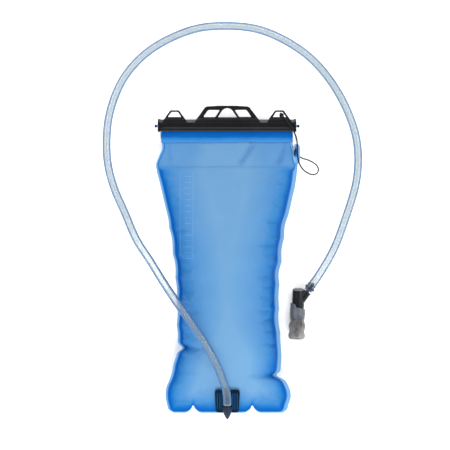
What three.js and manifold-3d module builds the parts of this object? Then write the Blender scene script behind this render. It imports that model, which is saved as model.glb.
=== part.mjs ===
// Hydration bladder lying on its back: a welded film reservoir with a slide closure at the top,
// a hose port at the foot, a clear drinking hose and an elbow bite valve.
// Millimetres. +X runs across the bag, +Y along it towards the slider, +Z up from the resting face.
import * as THREE from 'three';
import { mergeVertices } from 'three/addons/utils/BufferGeometryUtils.js';
import Module from 'manifold-3d';

const wasm = await Module();
wasm.setup();

// ---------------------------------------------------------------- driving dimensions
const GAP = 0.3; // clearance between neighbouring pieces
const RADIAL = 18; // facets of a turned piece
const SMALL_RADIAL = 12; // facets of a thin pin or a bore

// Bag
const FILM = 1.0; // film thickness
const SEAM_Z = 20; // height of the welded seam
const SIDE_FLANGE = 5.5;
const FOOT_SEAM_Y = -162;
const NECK_Y = 152; // above this the two films lie flat together
const FRONT_RISE = 30; // bulge of the front film over the seam
const BACK_DROP = 30; // bulge of the back film before the ground flattens it
const FOOT_TAPER = 110;
const NECK_TAPER = 150;
const COLUMNS = 16;
const NOTCH_WIDTH = 4.4;
const NOTCH_DEPTH = 8.2;
const FOOT_NOTCH_X = [-40.6, 30.4];
// Each row across the bag: y, left edge, right edge.
const ROWS = [
  [-171.4, -63.8, 66.6], [-168, -69.5, 71.5], [-162.4, -71.8, 73.6], [-151.2, -73.9, 76.7],
  [-140, -72.6, 74.2], [-131, -68.6, 67.7], [-126.7, -67, 59.6], [-122, -65.8, 63.2],
  [-113, -64.2, 64.8], [-104, -61.2, 65.4], [-98.6, -59.2, 65.3], [-93.6, -53.4, 65],
  [-88.5, -58.2, 64.7], [-80, -59.7, 64.3], [-66, -60.4, 63.4], [-50, -60.6, 62.5],
  [-34, -61, 63.1], [-18, -61.5, 63.1], [-4, -62.3, 63.4], [10, -63.7, 65.7],
  [25, -66, 67], [40, -67.6, 68.9], [56, -70.4, 71.4], [72, -73.2, 75.3],
  [88, -76.8, 78.8], [104, -80.5, 82.3], [118, -84.1, 84], [127, -85.3, 84.7],
  [135.8, -82, 83.2], [144.7, -78.1, 80.4], [152, -78.1, 78.7], [159, -79.7, 78.8],
  [165.5, -80, 79],
];

// Slide closure
const RAIL_Z = SEAM_Z + 1;
const RAIL_HALF = 83;
const RAIL_FOOT_Y = 166.3;
const RAIL_TOP_Y = 180.6;
const RAIL_THICK_HALF = 6.5;
const CHANNEL_FOOT_Y = 168.3;
const CHANNEL_TOP_Y = 177.4;
const CHANNEL_HALF = 4.2;
const SLOT_HALF = 2.4;
const END_PLATE = 3;
const END_PLATE_LIP = 0.6;
const GRIP_THICKNESS = 4.8;
const GRIP_BASE_Y = 178.8;
const WINDOW_CORNER = 1.7; // how far the rounding of a window's corner reaches
const FOLD_HALF = 79;
const FLAP_FOOT_Y = 153.2; // where the folded flap ends on the front film
const LEAVES_FILM_Y = 165.8; // just past the top edge of the films
const FOLD_FILM = 1.1; // thickness of the folded film
const ROD_Y = 172.7;
const ROD_R = 1.9;
const ROD_HALF = 83.2;
const CAP_LENGTH = 3.5;

// Tether
const TETHER_R = 0.9;
const TAB_THICKNESS = 1.2;
const TETHER_ROUTE = [
  [65.4, 186.3, 17.4], [65.4, 186.3, 24.2], [66.8, 184, 28.2], [71.4, 178.2, 29.8],
  [77.3, 170.4, 29.3], [81.5, 162.4, 27.6], [83.8, 153.6, 25.4], [84.2, 145, 24.4],
  [84.8, 136.2, 24.4], [86.9, 127.3, 23.9], [91.8, 120.2, 20], [97.8, 116.3, 15],
  [103.7, 114.5, 11.6], [108.6, 116.5, 9.8], [110.2, 121, 9.6], [108.6, 125.3, 10.6],
  [103.7, 129.2, 12.8], [97.4, 132.2, 15.6], [90.6, 134.2, 17.4], [86, 137.2, 18.2],
  [83.3, 140.6, 18.4], [82.3, 144, 18.6], [81.8, 146.6, 19.7], [81.7, 147.7, 22.3],
  [81.6, 146.6, 24.9], [81.5, 144, 26], [81.3, 140.6, 25.4], [81, 137.4, 23.95],
];

// Port
const PORT_TILT = THREE.MathUtils.degToRad(14);
const PORT_Y = -156.3;
const PORT_FLANGE = 3;
const PORT_LENGTH = 28;
const PORT_WIDTH_TOP = 30.1;
const PORT_WIDTH_FOOT = 27.5;
const PORT_CORNER = 4;
const PORT_RIB = 1;
const PORT_RIB_X = [-12, -9, -6.4, 6.4, 9, 12];
const PORT_HOLE_V = -7.2; // water hole, along the flange from its centre
const PORT_BORE = 1.9;
const SPOUT_W = 8.9; // height of the spout axis over the film
const SPOUT_R = 5.35;
const SPIGOT_R = 2.4;
const BARB_R = 2.6;

// Hose
const HOSE_R = 4.9;
const BORE_R = 3.2;
const HOSE_STEPS = 60;
const HOSE_ROUTE = [
  [0.4, -160.3, 33.1], [0.2, -152.5, 35.05], [-0.7, -144.8, 37.1], [-2.8, -136.4, 39.6],
  [-6, -127.4, 42.6], [-10.6, -115.4, 46.3], [-16.2, -104, 48.9], [-27.5, -84.2, 50.6],
  [-39.7, -66, 48.6], [-52, -48.5, 43.4], [-61.4, -36, 38], [-75.6, -15.4, 27.6],
  [-92.4, 10.8, 15.8], [-109, 36, 8.6], [-123.8, 69.6, 5.3], [-135, 95.2, 5.1],
  [-142.3, 119.3, 5.1], [-145.4, 145, 5.1], [-142.2, 186.7, 5.1], [-125, 231, 5.1],
  [-93.7, 264.7, 5.1], [-44.4, 289.2, 5.1], [-6.5, 294.5, 5.1], [41.6, 289.3, 5.1],
  [92.4, 262.8, 5.1], [124.8, 228.6, 5.1], [148.2, 185.4, 5.1], [157.6, 150, 5.1],
  [156.6, 108.6, 5.1], [142.8, 60.7, 5.4], [128.6, 24, 6.6], [112, -4.6, 9.9],
  [106.8, -12.4, 10.4], [102.1, -18.8, 10.4], [97.4, -25.3, 10.4],
];

// Bite valve: s is the distance along its axis from the cap end to the mouth
const VALVE_Z = 10.4;
const VALVE_CAP_END = [86.3, -22.8];
const VALVE_MOUTH = [83.8, -84];
const INLET_JOINT = [85.6, -41.5];
const INLET_ANGLE = THREE.MathUtils.degToRad(54);
const HOUSING_R = 7.3;
const HOUSING_BORE = 5;
const SPOOL_BORE = 2.4;
const ARM_R = 5;
const SOCKET_R = 3.9;
const STEM_R = 2.4;
const STEM_BORE = 1.6;
const SEAL_STATIONS = { inner: 12.6, outer: 15.4 }; // along the stem
const CAP_DEPTH = 2.4;
const CUFF_SLOPE = THREE.MathUtils.degToRad(26);
const SLEEVE_END = 35.8;

// ---------------------------------------------------------------- materials
const paint = (color, roughness, opacity = 1) => new THREE.MeshStandardMaterial({
  color,
  roughness,
  metalness: 0,
  opacity,
  transparent: opacity < 1,
});
const FILM_BLUE = paint('#5aa0d8', 0.25, 0.75);
const FOLD_BLUE = paint('#0a6cc0', 0.3);
const GLOSS_BLACK = paint('#141416', 0.15);
const CORD_BLACK = paint('#161618', 0.8);
const NAVY = paint('#1c3a66', 0.4);
const CLEAR_HOSE = paint('#bccbdc', 0.15, 0.5);
const RUBBER = paint('#101114', 0.7);
const HOUSING_BLACK = paint('#2a2b2e', 0.35);
const CAP_GREY = paint('#6a6c70', 0.4);
const CUFF_GREY = paint('#55575c', 0.6);
const MOUTH_GREY = paint('#9c9b99', 0.5);
const COLLAR_BLUE = paint('#1b2c4c', 0.4);

// ---------------------------------------------------------------- shared tools
const IDENTITY = new THREE.Matrix4();
const UP = new THREE.Vector3(0, 0, 1);
const part = new THREE.Group();

// A closed geometry as a solid, without its seam copies and collapsed corner faces.
function solid(geometry, matrix = IDENTITY) {
  const bare = geometry.clone().applyMatrix4(matrix);
  bare.deleteAttribute('normal');
  bare.deleteAttribute('uv');
  const merged = mergeVertices(bare, 1e-4);
  const index = merged.index.array;
  const kept = [];
  for (let i = 0; i < index.length; i += 3) {
    const [a, b, c] = index.slice(i, i + 3);
    if (a !== b && b !== c && c !== a) kept.push(a, b, c);
  }
  return new wasm.Manifold(new wasm.Mesh({
    numProp: 3,
    vertProperties: merged.attributes.position.array,
    triVerts: new Uint32Array(kept),
  }));
}

function add(name, shape, material) {
  const made = shape.getMesh();
  const geometry = new THREE.BufferGeometry();
  geometry.setAttribute('position', new THREE.BufferAttribute(made.vertProperties, 3));
  geometry.setIndex(new THREE.BufferAttribute(made.triVerts, 1));
  geometry.computeVertexNormals();
  const mesh = new THREE.Mesh(geometry, material);
  mesh.name = name;
  part.add(mesh);
}

// A frame whose Y axis runs along direction and whose Z axis is up.
function frameAlong(origin, direction, up = UP) {
  const side = direction.clone().cross(up);
  return new THREE.Matrix4().makeBasis(side, direction, up).setPosition(...origin);
}

// A profile of [radius, station] pairs, anticlockwise, turned about the frame's Y axis.
function turned(profile, frame = IDENTITY, facets = RADIAL) {
  const points = profile.map(([r, y]) => new THREE.Vector2(r, y));
  if (profile[0][0] > 0) points.push(points[0].clone());
  return solid(new THREE.LatheGeometry(points, facets), frame);
}

const rod = (radius, from, to, frame, facets = RADIAL) =>
  turned([[0, from], [radius, from], [radius, to], [0, to]], frame, facets);

function ring(major, minor, station, frame) {
  const lying = new THREE.TorusGeometry(major, minor, 6, RADIAL).rotateX(Math.PI / 2);
  return solid(lying.translate(0, station, 0), frame);
}

function outline(points) {
  return new THREE.Shape(points.map(([x, y]) => new THREE.Vector2(x, y)));
}

// A flat outline in XY, raised from one height to another.
function plate(shape, from, to, frame = IDENTITY) {
  const options = { depth: to - from, bevelEnabled: false, curveSegments: 5 };
  return solid(new THREE.ExtrudeGeometry(shape, options).translate(0, 0, from), frame);
}

// An outline in YZ, run along X.
const ACROSS = new THREE.Matrix4().makeBasis(
  new THREE.Vector3(0, 1, 0), new THREE.Vector3(0, 0, 1), new THREE.Vector3(1, 0, 0),
);
const alongX = (shape, from, to) => plate(shape, from, to, ACROSS);

// A closed outline whose corners are rounded, each from this far before it to this far after it.
function roundedOutline(points, reach) {
  const corners = points.map(([x, y]) => new THREE.Vector2(x, y));
  const towards = (corner, other) => other.clone().sub(corner).setLength(reach).add(corner);
  const shape = new THREE.Shape();
  corners.forEach((corner, i) => {
    const before = towards(corner, corners.at(i - 1));
    const after = towards(corner, corners[(i + 1) % corners.length]);
    if (i === 0) shape.moveTo(before.x, before.y);
    else shape.lineTo(before.x, before.y);
    shape.quadraticCurveTo(corner.x, corner.y, after.x, after.y);
  });
  shape.closePath();
  return shape;
}

function tube(route, radius, bore, facets, steps) {
  const points = route.map((place) => new THREE.Vector3(...place));
  const path = new THREE.CatmullRomCurve3(points, false, 'centripetal');
  const section = new THREE.Shape().absarc(0, 0, radius, 0, 2 * Math.PI, false);
  if (bore > 0) section.holes.push(new THREE.Path().absarc(0, 0, bore, 0, 2 * Math.PI, true));
  return solid(new THREE.ExtrudeGeometry(section, {
    steps,
    extrudePath: path,
    bevelEnabled: false,
    curveSegments: facets / 2,
  }));
}

// ---------------------------------------------------------------- reservoir films
const { clamp, smoothstep, lerp } = THREE.MathUtils;
const FLANGE_TOP = SEAM_Z + GAP / 2 + FILM;
const FLANGE_UNDER = SEAM_Z - GAP / 2 - FILM;
const FOOT_Y = ROWS[0][0];

function fullness(y) {
  const fromFoot = clamp((y - FOOT_SEAM_Y) / FOOT_TAPER, 0, 1);
  const fromNeck = clamp((NECK_Y - y) / NECK_TAPER, 0, 1);
  return Math.sin(fromFoot * Math.PI / 2) ** 0.9 * Math.sin(fromNeck * Math.PI / 2) ** 1.1;
}

// Height of the plane the port is welded to.
const portPlane = (y) => FLANGE_TOP + (y - FOOT_Y) * Math.tan(PORT_TILT);

function frontTop(x, y, arch) {
  const dome = FLANGE_TOP + FRONT_RISE * fullness(y) * arch;
  const near = (1 - smoothstep(Math.abs(x), 17, 32)) * (1 - smoothstep(y, -140, -116));
  return lerp(dome, portPlane(y), near);
}

const backUnder = (y, arch) => Math.max(0, FLANGE_UNDER - BACK_DROP * fullness(y) * arch);

// A point of the grid across one row: its place and how high the pillow arches there.
function acrossRow([, left, right], column) {
  if (column === 0) return [left, 0];
  if (column === COLUMNS) return [right, 0];
  const u = -Math.cos(Math.PI * (column - 1) / (COLUMNS - 2));
  const middle = (left + right) / 2;
  const half = (right - left) / 2 - SIDE_FLANGE;
  return [middle + u * half, clamp(1 - Math.abs(u) ** 2.2, 0, 1) ** 0.65];
}

function film(heights) {
  const steps = ROWS.length - 1;
  const sheet = new THREE.BoxGeometry(1, 1, 1, COLUMNS, steps, 1);
  const at = sheet.attributes.position;
  for (let i = 0; i < at.count; i += 1) {
    const row = ROWS[Math.round((at.getY(i) + 0.5) * steps)];
    const [x, arch] = acrossRow(row, Math.round((at.getX(i) + 0.5) * COLUMNS));
    const [top, under] = heights(x, row[0], arch);
    at.setXYZ(i, x, row[0], at.getZ(i) > 0 ? top : under);
  }
  return solid(sheet);
}

function footNotch(x) {
  const half = NOTCH_WIDTH / 2;
  return plate(outline([
    [x - 3 * half, FOOT_Y - 1], [x + 3 * half, FOOT_Y - 1], [x + half, FOOT_Y + 2.4],
    [x + half * 0.8, FOOT_Y + NOTCH_DEPTH - 1], [x, FOOT_Y + NOTCH_DEPTH],
    [x - half * 0.8, FOOT_Y + NOTCH_DEPTH - 1], [x - half, FOOT_Y + 2.4],
  ]), 0, 2 * SEAM_Z);
}

function cutNotches(sheet) {
  return FOOT_NOTCH_X.reduce((rest, x) => rest.subtract(footNotch(x)), sheet);
}

const portFrame = frameAlong(
  [0.4, PORT_Y, portPlane(PORT_Y)],
  new THREE.Vector3(0, Math.cos(PORT_TILT), Math.sin(PORT_TILT)),
  new THREE.Vector3(0, -Math.sin(PORT_TILT), Math.cos(PORT_TILT)),
);
// A round hole or stub through the port, square to its flange.
function portRod(radius, from, to) {
  const upright = new THREE.Matrix4().makeRotationX(Math.PI / 2).setPosition(0, PORT_HOLE_V, 0);
  return rod(radius, from, to, portFrame.clone().multiply(upright));
}

const frontSheet = film((x, y, arch) => {
  const top = frontTop(x, y, arch);
  return [top, top - FILM];
});
add('front_film', cutNotches(frontSheet).subtract(portRod(3.5, -6, 6)), FILM_BLUE);

const backSheet = film((x, y, arch) => {
  const under = backUnder(y, arch);
  return [under + FILM, under];
});
add('back_film', cutNotches(backSheet), FILM_BLUE);

// ---------------------------------------------------------------- folded mouth
// The mouth is folded over a stiff rod: a hairpin with its flap lying on the front film.
function mouthFold() {
  const inner = ROD_R + GAP;
  const outer = inner + FOLD_FILM;
  const flapUnder = FLANGE_TOP + GAP;
  const shape = new THREE.Shape();
  shape.moveTo(FLAP_FOOT_Y, flapUnder);
  shape.lineTo(LEAVES_FILM_Y, flapUnder);
  shape.lineTo(169, RAIL_Z + 0.8);
  shape.lineTo(ROD_Y - ROD_R, RAIL_Z + inner);
  shape.lineTo(ROD_Y, RAIL_Z + inner);
  shape.absarc(ROD_Y, RAIL_Z, inner, Math.PI / 2, -Math.PI / 2, true);
  shape.lineTo(ROD_Y - ROD_R, RAIL_Z - inner);
  shape.lineTo(169, RAIL_Z - 0.8);
  shape.lineTo(LEAVES_FILM_Y, RAIL_Z - 0.8);
  shape.lineTo(LEAVES_FILM_Y, RAIL_Z - 0.8 - FOLD_FILM);
  shape.lineTo(168.8, RAIL_Z - 0.8 - FOLD_FILM);
  shape.lineTo(170.4, RAIL_Z - outer);
  shape.lineTo(ROD_Y, RAIL_Z - outer);
  shape.absarc(ROD_Y, RAIL_Z, outer, -Math.PI / 2, Math.PI / 2, false);
  shape.lineTo(170.4, RAIL_Z + outer);
  shape.lineTo(168.8, RAIL_Z + 0.8 + FOLD_FILM);
  shape.lineTo(FLAP_FOOT_Y, flapUnder + FOLD_FILM);
  return alongX(shape, -FOLD_HALF, FOLD_HALF);
}
add('mouth_fold', mouthFold(), FOLD_BLUE);

const rodFrame = frameAlong([0, ROD_Y, RAIL_Z], new THREE.Vector3(1, 0, 0));
add('mouth_rod', rod(ROD_R, -ROD_HALF, ROD_HALF, rodFrame, SMALL_RADIAL), FOLD_BLUE);
const capFrom = ROD_HALF + GAP;
const capTo = capFrom + CAP_LENGTH;
add('rod_cap_right', rod(ROD_R, capFrom, capTo, rodFrame, SMALL_RADIAL), GLOSS_BLACK);
add('rod_cap_left', rod(ROD_R, -capTo, -capFrom, rodFrame, SMALL_RADIAL), GLOSS_BLACK);

// ---------------------------------------------------------------- slider
// Half of the rail's outer section, from its foot to its rounded top: y, height over the middle.
const RAIL_HALF_SECTION = [
  [RAIL_FOOT_Y, 5.2], [167.6, 6.2], [170.6, 6.2], [171, 5.6], [174.4, 5.6],
  [174.8, RAIL_THICK_HALF], [176.6, RAIL_THICK_HALF], [178.6, 5.5], [179.9, 3.8],
  [RAIL_TOP_Y, 1.6],
];

function railSection() {
  const front = RAIL_HALF_SECTION.map(([y, z]) => [y, RAIL_Z + z]);
  const back = RAIL_HALF_SECTION.map(([y, z]) => [y, RAIL_Z - z]);
  return outline([...back, ...front.reverse()]);
}

// The room for the folded mouth, with the narrow slot the film leaves by.
function railChannel() {
  const foot = RAIL_FOOT_Y - 2;
  return outline([
    [foot, RAIL_Z - SLOT_HALF], [CHANNEL_FOOT_Y, RAIL_Z - SLOT_HALF],
    [CHANNEL_FOOT_Y, RAIL_Z - CHANNEL_HALF], [CHANNEL_TOP_Y, RAIL_Z - CHANNEL_HALF],
    [CHANNEL_TOP_Y, RAIL_Z + CHANNEL_HALF], [CHANNEL_FOOT_Y, RAIL_Z + CHANNEL_HALF],
    [CHANNEL_FOOT_Y, RAIL_Z + SLOT_HALF], [foot, RAIL_Z + SLOT_HALF],
  ]);
}

function endPlate(from) {
  const foot = RAIL_FOOT_Y - END_PLATE_LIP;
  const top = RAIL_TOP_Y + END_PLATE_LIP;
  const half = RAIL_THICK_HALF + END_PLATE_LIP;
  const low = RAIL_Z - half;
  const high = RAIL_Z + half;
  return alongX(outline([
    [foot, low + 1.5], [foot + 1.5, low], [top - 4, low], [top, low + 5],
    [top, high - 5], [top - 4, high], [foot + 1.5, high], [foot, high - 1.5],
  ]), from, from + END_PLATE);
}

// A cord loop at one end of the rail.
function loopGrip(side) {
  const shape = outline([
    [side * 48.6, GRIP_BASE_Y], [side * 76.8, GRIP_BASE_Y], [side * 68.6, 190.6],
    [side * 67.2, 191.5], [side * 58.4, 191.5], [side * 57, 190.6],
  ]);
  shape.holes.push(roundedOutline([
    [side * 54.8, 183.4], [side * 58.9, 189.5], [side * 66.6, 189.5], [side * 71, 183.4],
  ], WINDOW_CORNER / 2));
  return shape;
}

// The middle grip with its three windows.
function middleGrip() {
  const shape = outline([
    [39.2, GRIP_BASE_Y], [27, 195], [24.6, 196.1], [10, 197], [-10, 197], [-24, 196.1],
    [-26.4, 195], [-38, GRIP_BASE_Y],
  ]);
  const left = [[-28.7, 183.3], [-13.9, 183.3], [-8.6, 191.9], [-22.6, 191.9]];
  const right = [[14.5, 183.4], [29.3, 183.4], [23.2, 192], [9.2, 192]];
  shape.holes.push(roundedOutline(left, WINDOW_CORNER));
  shape.holes.push(roundedOutline(right, WINDOW_CORNER));
  const arch = new THREE.Path();
  arch.moveTo(-11, 183.1);
  arch.lineTo(12, 183.1);
  arch.lineTo(6.2, 191.6);
  arch.quadraticCurveTo(0.4, 196.6, -5.6, 191.6);
  shape.holes.push(arch);
  return shape;
}

function slider() {
  const from = RAIL_Z - GRIP_THICKNESS / 2;
  const to = RAIL_Z + GRIP_THICKNESS / 2;
  return alongX(railSection(), -RAIL_HALF, RAIL_HALF)
    .add(endPlate(-RAIL_HALF))
    .add(endPlate(RAIL_HALF - END_PLATE))
    .add(plate(loopGrip(-1), from, to))
    .add(plate(loopGrip(1), from, to))
    .add(plate(middleGrip(), from, to))
    .subtract(alongX(railChannel(), -RAIL_HALF - 1, RAIL_HALF + 1));
}
add('slider_rail', slider(), GLOSS_BLACK);

// ---------------------------------------------------------------- tether
function tetherTab() {
  const shape = outline([
    [78.8, 127], [86.2, 127], [87.6, 128.2], [88, 130], [88, 145.5], [87.2, 148.8],
    [85.2, 150.6], [82.6, 151], [79.8, 150.4], [78.8, 148.6],
  ]);
  shape.holes.push(outline([
    [80.1, 140], [82.6, 140], [82.9, 141], [82.9, 148.4], [82.4, 149.4], [80.6, 149.4],
    [80.1, 148.6],
  ]));
  return plate(shape, FLANGE_TOP + GAP, FLANGE_TOP + GAP + TAB_THICKNESS);
}
add('tether_tab', tetherTab(), FOLD_BLUE);
add('tether_cord', tube(TETHER_ROUTE, TETHER_R, 0, 8, 44), CORD_BLACK);
const [KNOT_X, KNOT_Y, KNOT_TOP] = TETHER_ROUTE[0];
const knotFrame = frameAlong([KNOT_X, KNOT_Y, 0], UP, new THREE.Vector3(1, 0, 0));
const knotTop = KNOT_TOP - GAP;
add('tether_knot', turned([
  [0, knotTop - 4], [2, knotTop - 3.7], [3.2, knotTop - 2], [3, knotTop - 0.7], [1.6, knotTop],
  [0, knotTop],
], knotFrame, SMALL_RADIAL), CORD_BLACK);

// ---------------------------------------------------------------- port
function portFlange() {
  const low = GAP;
  const high = GAP + PORT_FLANGE;
  const end = PORT_LENGTH / 2;
  const face = roundedOutline([
    [-PORT_WIDTH_FOOT / 2, -end], [PORT_WIDTH_FOOT / 2, -end], [PORT_WIDTH_TOP / 2, end],
    [-PORT_WIDTH_TOP / 2, end],
  ], PORT_CORNER);
  let made = plate(face, low, high, portFrame);
  for (const x of PORT_RIB_X) {
    const [left, right] = [x - PORT_RIB / 2, x + PORT_RIB / 2];
    const rib = outline([[left, 4 - end], [right, 4 - end], [right, end - 3.5], [left, end - 3.5]]);
    made = made.add(plate(rib, high - PORT_RIB / 2, high + PORT_RIB / 2, portFrame));
  }
  return made.add(portRod(3.1, -1.6, low + 1)).subtract(portRod(PORT_BORE, -3, high + 2));
}
add('port_flange', portFlange(), NAVY);

const spoutFrame = portFrame.clone().multiply(new THREE.Matrix4().setPosition(0, 0, SPOUT_W));
function portSpout() {
  const outer = turned([
    [0, -20.6], [0.9, -20.2], [2.6, -17.4], [4.5, -13.4], [SPOUT_R, -9.6], [SPOUT_R, -6.4],
    [4.4, -3.9], [SPIGOT_R, -3.9], [SPIGOT_R, 0], [BARB_R, 0], [SPIGOT_R - 0.2, 2.6],
    [BARB_R, 2.6], [SPIGOT_R - 0.4, 6], [0, 6],
  ], spoutFrame);
  const foot = portRod(3.2, PORT_FLANGE + 2 * GAP, SPOUT_W - 1);
  return outer
    .add(foot)
    .subtract(rod(PORT_BORE - 0.2, PORT_HOLE_V, 9, spoutFrame, SMALL_RADIAL))
    .subtract(portRod(PORT_BORE - 0.3, 0, SPOUT_W));
}
add('port_spout', portSpout(), NAVY);
add('port_o_ring', ring(3.75, 0.75, -2.9, spoutFrame), RUBBER);

// ---------------------------------------------------------------- drinking hose
add('drink_tube', tube(HOSE_ROUTE, HOSE_R, BORE_R, 10, HOSE_STEPS), CLEAR_HOSE);

// ---------------------------------------------------------------- hose end of the valve
const inletFrame = frameAlong(
  [...INLET_JOINT, VALVE_Z],
  new THREE.Vector3(Math.cos(INLET_ANGLE), Math.sin(INLET_ANGLE), 0),
);
add('hose_collar', turned([
  [5.25, 23.4], [6.3, 23.4], [6.3, 25.6], [5.25, 25.6],
], inletFrame), COLLAR_BLUE);

function valveStem() {
  return turned([
    [STEM_BORE, 10.8], [STEM_R, 10.8], [STEM_R, 21.4], [BARB_R, 21.4], [STEM_R - 0.2, 24.6],
    [BARB_R, 24.6], [STEM_R - 0.2, 27.8], [BARB_R, 27.8], [2.1, 31.6], [STEM_BORE, 31.6],
  ], inletFrame);
}
add('valve_stem', valveStem(), COLLAR_BLUE);
for (const [place, station] of Object.entries(SEAL_STATIONS)) {
  add(`stem_o_ring_${place}`, ring(3.2, 0.5, station, inletFrame), RUBBER);
}

// ---------------------------------------------------------------- bite valve
const toMouth = new THREE.Vector3(
  VALVE_MOUTH[0] - VALVE_CAP_END[0], VALVE_MOUTH[1] - VALVE_CAP_END[1], 0,
).normalize();
const valveFrame = frameAlong([...VALVE_CAP_END, VALVE_Z], toMouth);

function elbowBody() {
  const capSeat = CAP_DEPTH + GAP;
  const arm = turned([
    [0, 0], [ARM_R, 0], [ARM_R, 17.2], [ARM_R + 0.5, 17.2], [ARM_R + 0.5, 19], [0, 19],
  ], inletFrame);
  return turned([
    [0, capSeat], [HOUSING_R, capSeat], [HOUSING_R, 33], [HOUSING_R - 0.5, 33.5], [0, 33.5],
  ], valveFrame)
    .add(arm)
    .subtract(rod(HOUSING_R + GAP, -2, capSeat, valveFrame))
    .subtract(rod(HOUSING_BORE, 13, 35, valveFrame))
    .subtract(rod(SPOOL_BORE - 0.4, 0, 11, inletFrame, SMALL_RADIAL))
    .subtract(rod(SOCKET_R, 10.4, 20, inletFrame));
}
add('elbow_body', elbowBody(), HOUSING_BLACK);
add('elbow_cap', turned([
  [0, 0], [6.3, 0], [HOUSING_R, 0.9], [HOUSING_R, CAP_DEPTH], [0, CAP_DEPTH],
], valveFrame), CAP_GREY);

function shutoffSpool() {
  return turned([
    [SPOOL_BORE, 14], [HOUSING_BORE - GAP, 14], [HOUSING_BORE - GAP, 33.9], [7.2, 33.9],
    [7.2, 35.6], [SPOOL_BORE, 35.6],
  ], valveFrame)
    .subtract(rod(SPOOL_BORE - 0.3, 0, 12, inletFrame, SMALL_RADIAL));
}
add('shutoff_spool', shutoffSpool(), HOUSING_BLACK);

function biteCuff() {
  const sleeve = turned([
    [7.65, 17.1], [8.7, 17.1], [9.1, 18.4], [9.1, 33.2], [8.6, 33.6], [8.6, 34.2], [9.1, 34.6],
    [9.1, SLEEVE_END], [7.65, SLEEVE_END],
  ], valveFrame, 24);
  // The top edge is cut on a slope, low on the side of the inlet arm.
  const cut = new THREE.BoxGeometry(40, 20, 40)
    .translate(0, -10, 0)
    .rotateZ(-CUFF_SLOPE)
    .translate(-1, 21.2, 0);
  return sleeve.subtract(solid(cut, valveFrame));
}
add('bite_cuff', biteCuff(), CUFF_GREY);

function biteTip() {
  const bulb = turned([
    [4.5, SLEEVE_END + GAP], [8.6, SLEEVE_END + GAP], [8.5, 38.4], [9.3, 42], [10, 45.3],
    [9.8, 48], [9.2, 51.3], [9.8, 53.6], [10.3, 55.6], [10, 58.6], [8.4, 60.7], [5, 61.3],
    [0, 61.3], [0, 57.4], [5.6, 56.8], [7.2, 54], [7, 42], [4.5, 38.2],
  ], valveFrame, 24);
  const slit = new THREE.BoxGeometry(10, 8, 0.5).translate(0, 60, 0);
  return bulb.subtract(solid(slit, valveFrame));
}
add('bite_tip', biteTip(), MOUTH_GREY);

export default part;
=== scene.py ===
"""Hydration bladder lying on its back: soft blue film bag, black slider, clear hose and bite valve.

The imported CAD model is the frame. Sizes below are in millimetres, in the row frame:
+X across the bag, +Y along it towards the slider, +Z up.
"""
import math

import bmesh
import bpy
import numpy as np
from mathutils import Matrix, Vector, noise


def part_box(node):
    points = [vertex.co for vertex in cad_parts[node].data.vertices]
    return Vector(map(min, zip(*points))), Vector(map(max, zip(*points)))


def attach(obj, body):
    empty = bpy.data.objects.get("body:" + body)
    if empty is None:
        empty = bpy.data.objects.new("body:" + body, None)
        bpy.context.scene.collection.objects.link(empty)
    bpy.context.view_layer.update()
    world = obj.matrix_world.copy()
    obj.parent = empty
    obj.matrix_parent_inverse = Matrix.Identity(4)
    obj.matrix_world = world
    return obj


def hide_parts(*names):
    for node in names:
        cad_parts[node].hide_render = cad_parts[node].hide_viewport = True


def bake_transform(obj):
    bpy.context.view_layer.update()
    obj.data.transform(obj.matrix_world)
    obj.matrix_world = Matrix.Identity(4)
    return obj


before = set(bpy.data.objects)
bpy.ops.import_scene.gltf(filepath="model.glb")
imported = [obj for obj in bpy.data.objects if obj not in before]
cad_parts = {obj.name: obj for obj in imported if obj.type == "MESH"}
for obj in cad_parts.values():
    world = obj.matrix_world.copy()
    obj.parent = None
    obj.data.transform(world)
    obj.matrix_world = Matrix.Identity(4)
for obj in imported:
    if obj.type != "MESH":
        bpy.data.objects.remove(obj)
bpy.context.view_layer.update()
MM = 0.001

# ---- driving dimensions
VIEW_CENTRE = (-2.4, 54.0)  # middle of the picture
VIEW_WIDTH = 540.0  # width of the picture at the height of the bag
CAMERA_HEIGHT = 2200.0

# Film bag
SEAM_Z = 20.0
SEAM_HALF = 0.5  # half the thickness of the welded edge
SIDE_FLANGE = 5.5
FOOT_FLANGE = 9.4
NECK_Y = 152.0  # above this the films lie flat together
FRONT_RISE = 30.0
BACK_DROP = 30.0
DOME_SQUARE, DOME_ROUND = 2.2, 0.65  # how full the bag's section is
BACK_FLOOR = 0.12  # height of the film where the ground flattens it
GROUND_SOFT = 1.2  # how gradually it does so
FOOT_TAPER = 110.0
NECK_TAPER = 150.0
NOTCH_X = (-40.6, 30.4)
NOTCH_WIDTH = 2.6
NOTCH_DEPTH = 8.6
NOTCH_FLARE = 11.5  # how far from a notch the foot starts to curve up into it
PANEL_WELD_Y, PANEL_WELD_HALF = 123.6, 1.1
WELD_SHIFT = 1.1  # the weld is this much narrower on the left, and wider on the right
FOOT_WELD = 0.9
FOOT_SEAM_START, FOOT_SEAM_END = 1.8, 3.6
FOOT_SIDE = 10.0
FOOT_REACH = 33.0
FLANGE_COLUMNS, FILM_COLUMNS = 4, 141  # points across each welded edge, and between them
FOOT_ROWS, FILM_ROWS = 16, 236
SCALLOP_DEPTH, SCALLOP_PITCH = 1.3, 31
PUCKER_START, PUCKER_END, PUCKER_PITCH = -88.0, 118.0, 12.5
SWELL_TOP = 128.0  # above this the film no longer swells unevenly
LIP_Y = 151.0  # above this the front film lies under the folded mouth
GROOVE_WIDTH = 8.0  # the hose presses a groove into the bag
HOSE_ON_BAG = slice(14, 72, 2)  # the points of the hose's path that do so
PORT_SPREAD_X, PORT_SPREAD_Y = (17, 32), (-140, -116)  # how far the port holds the film flat

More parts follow.
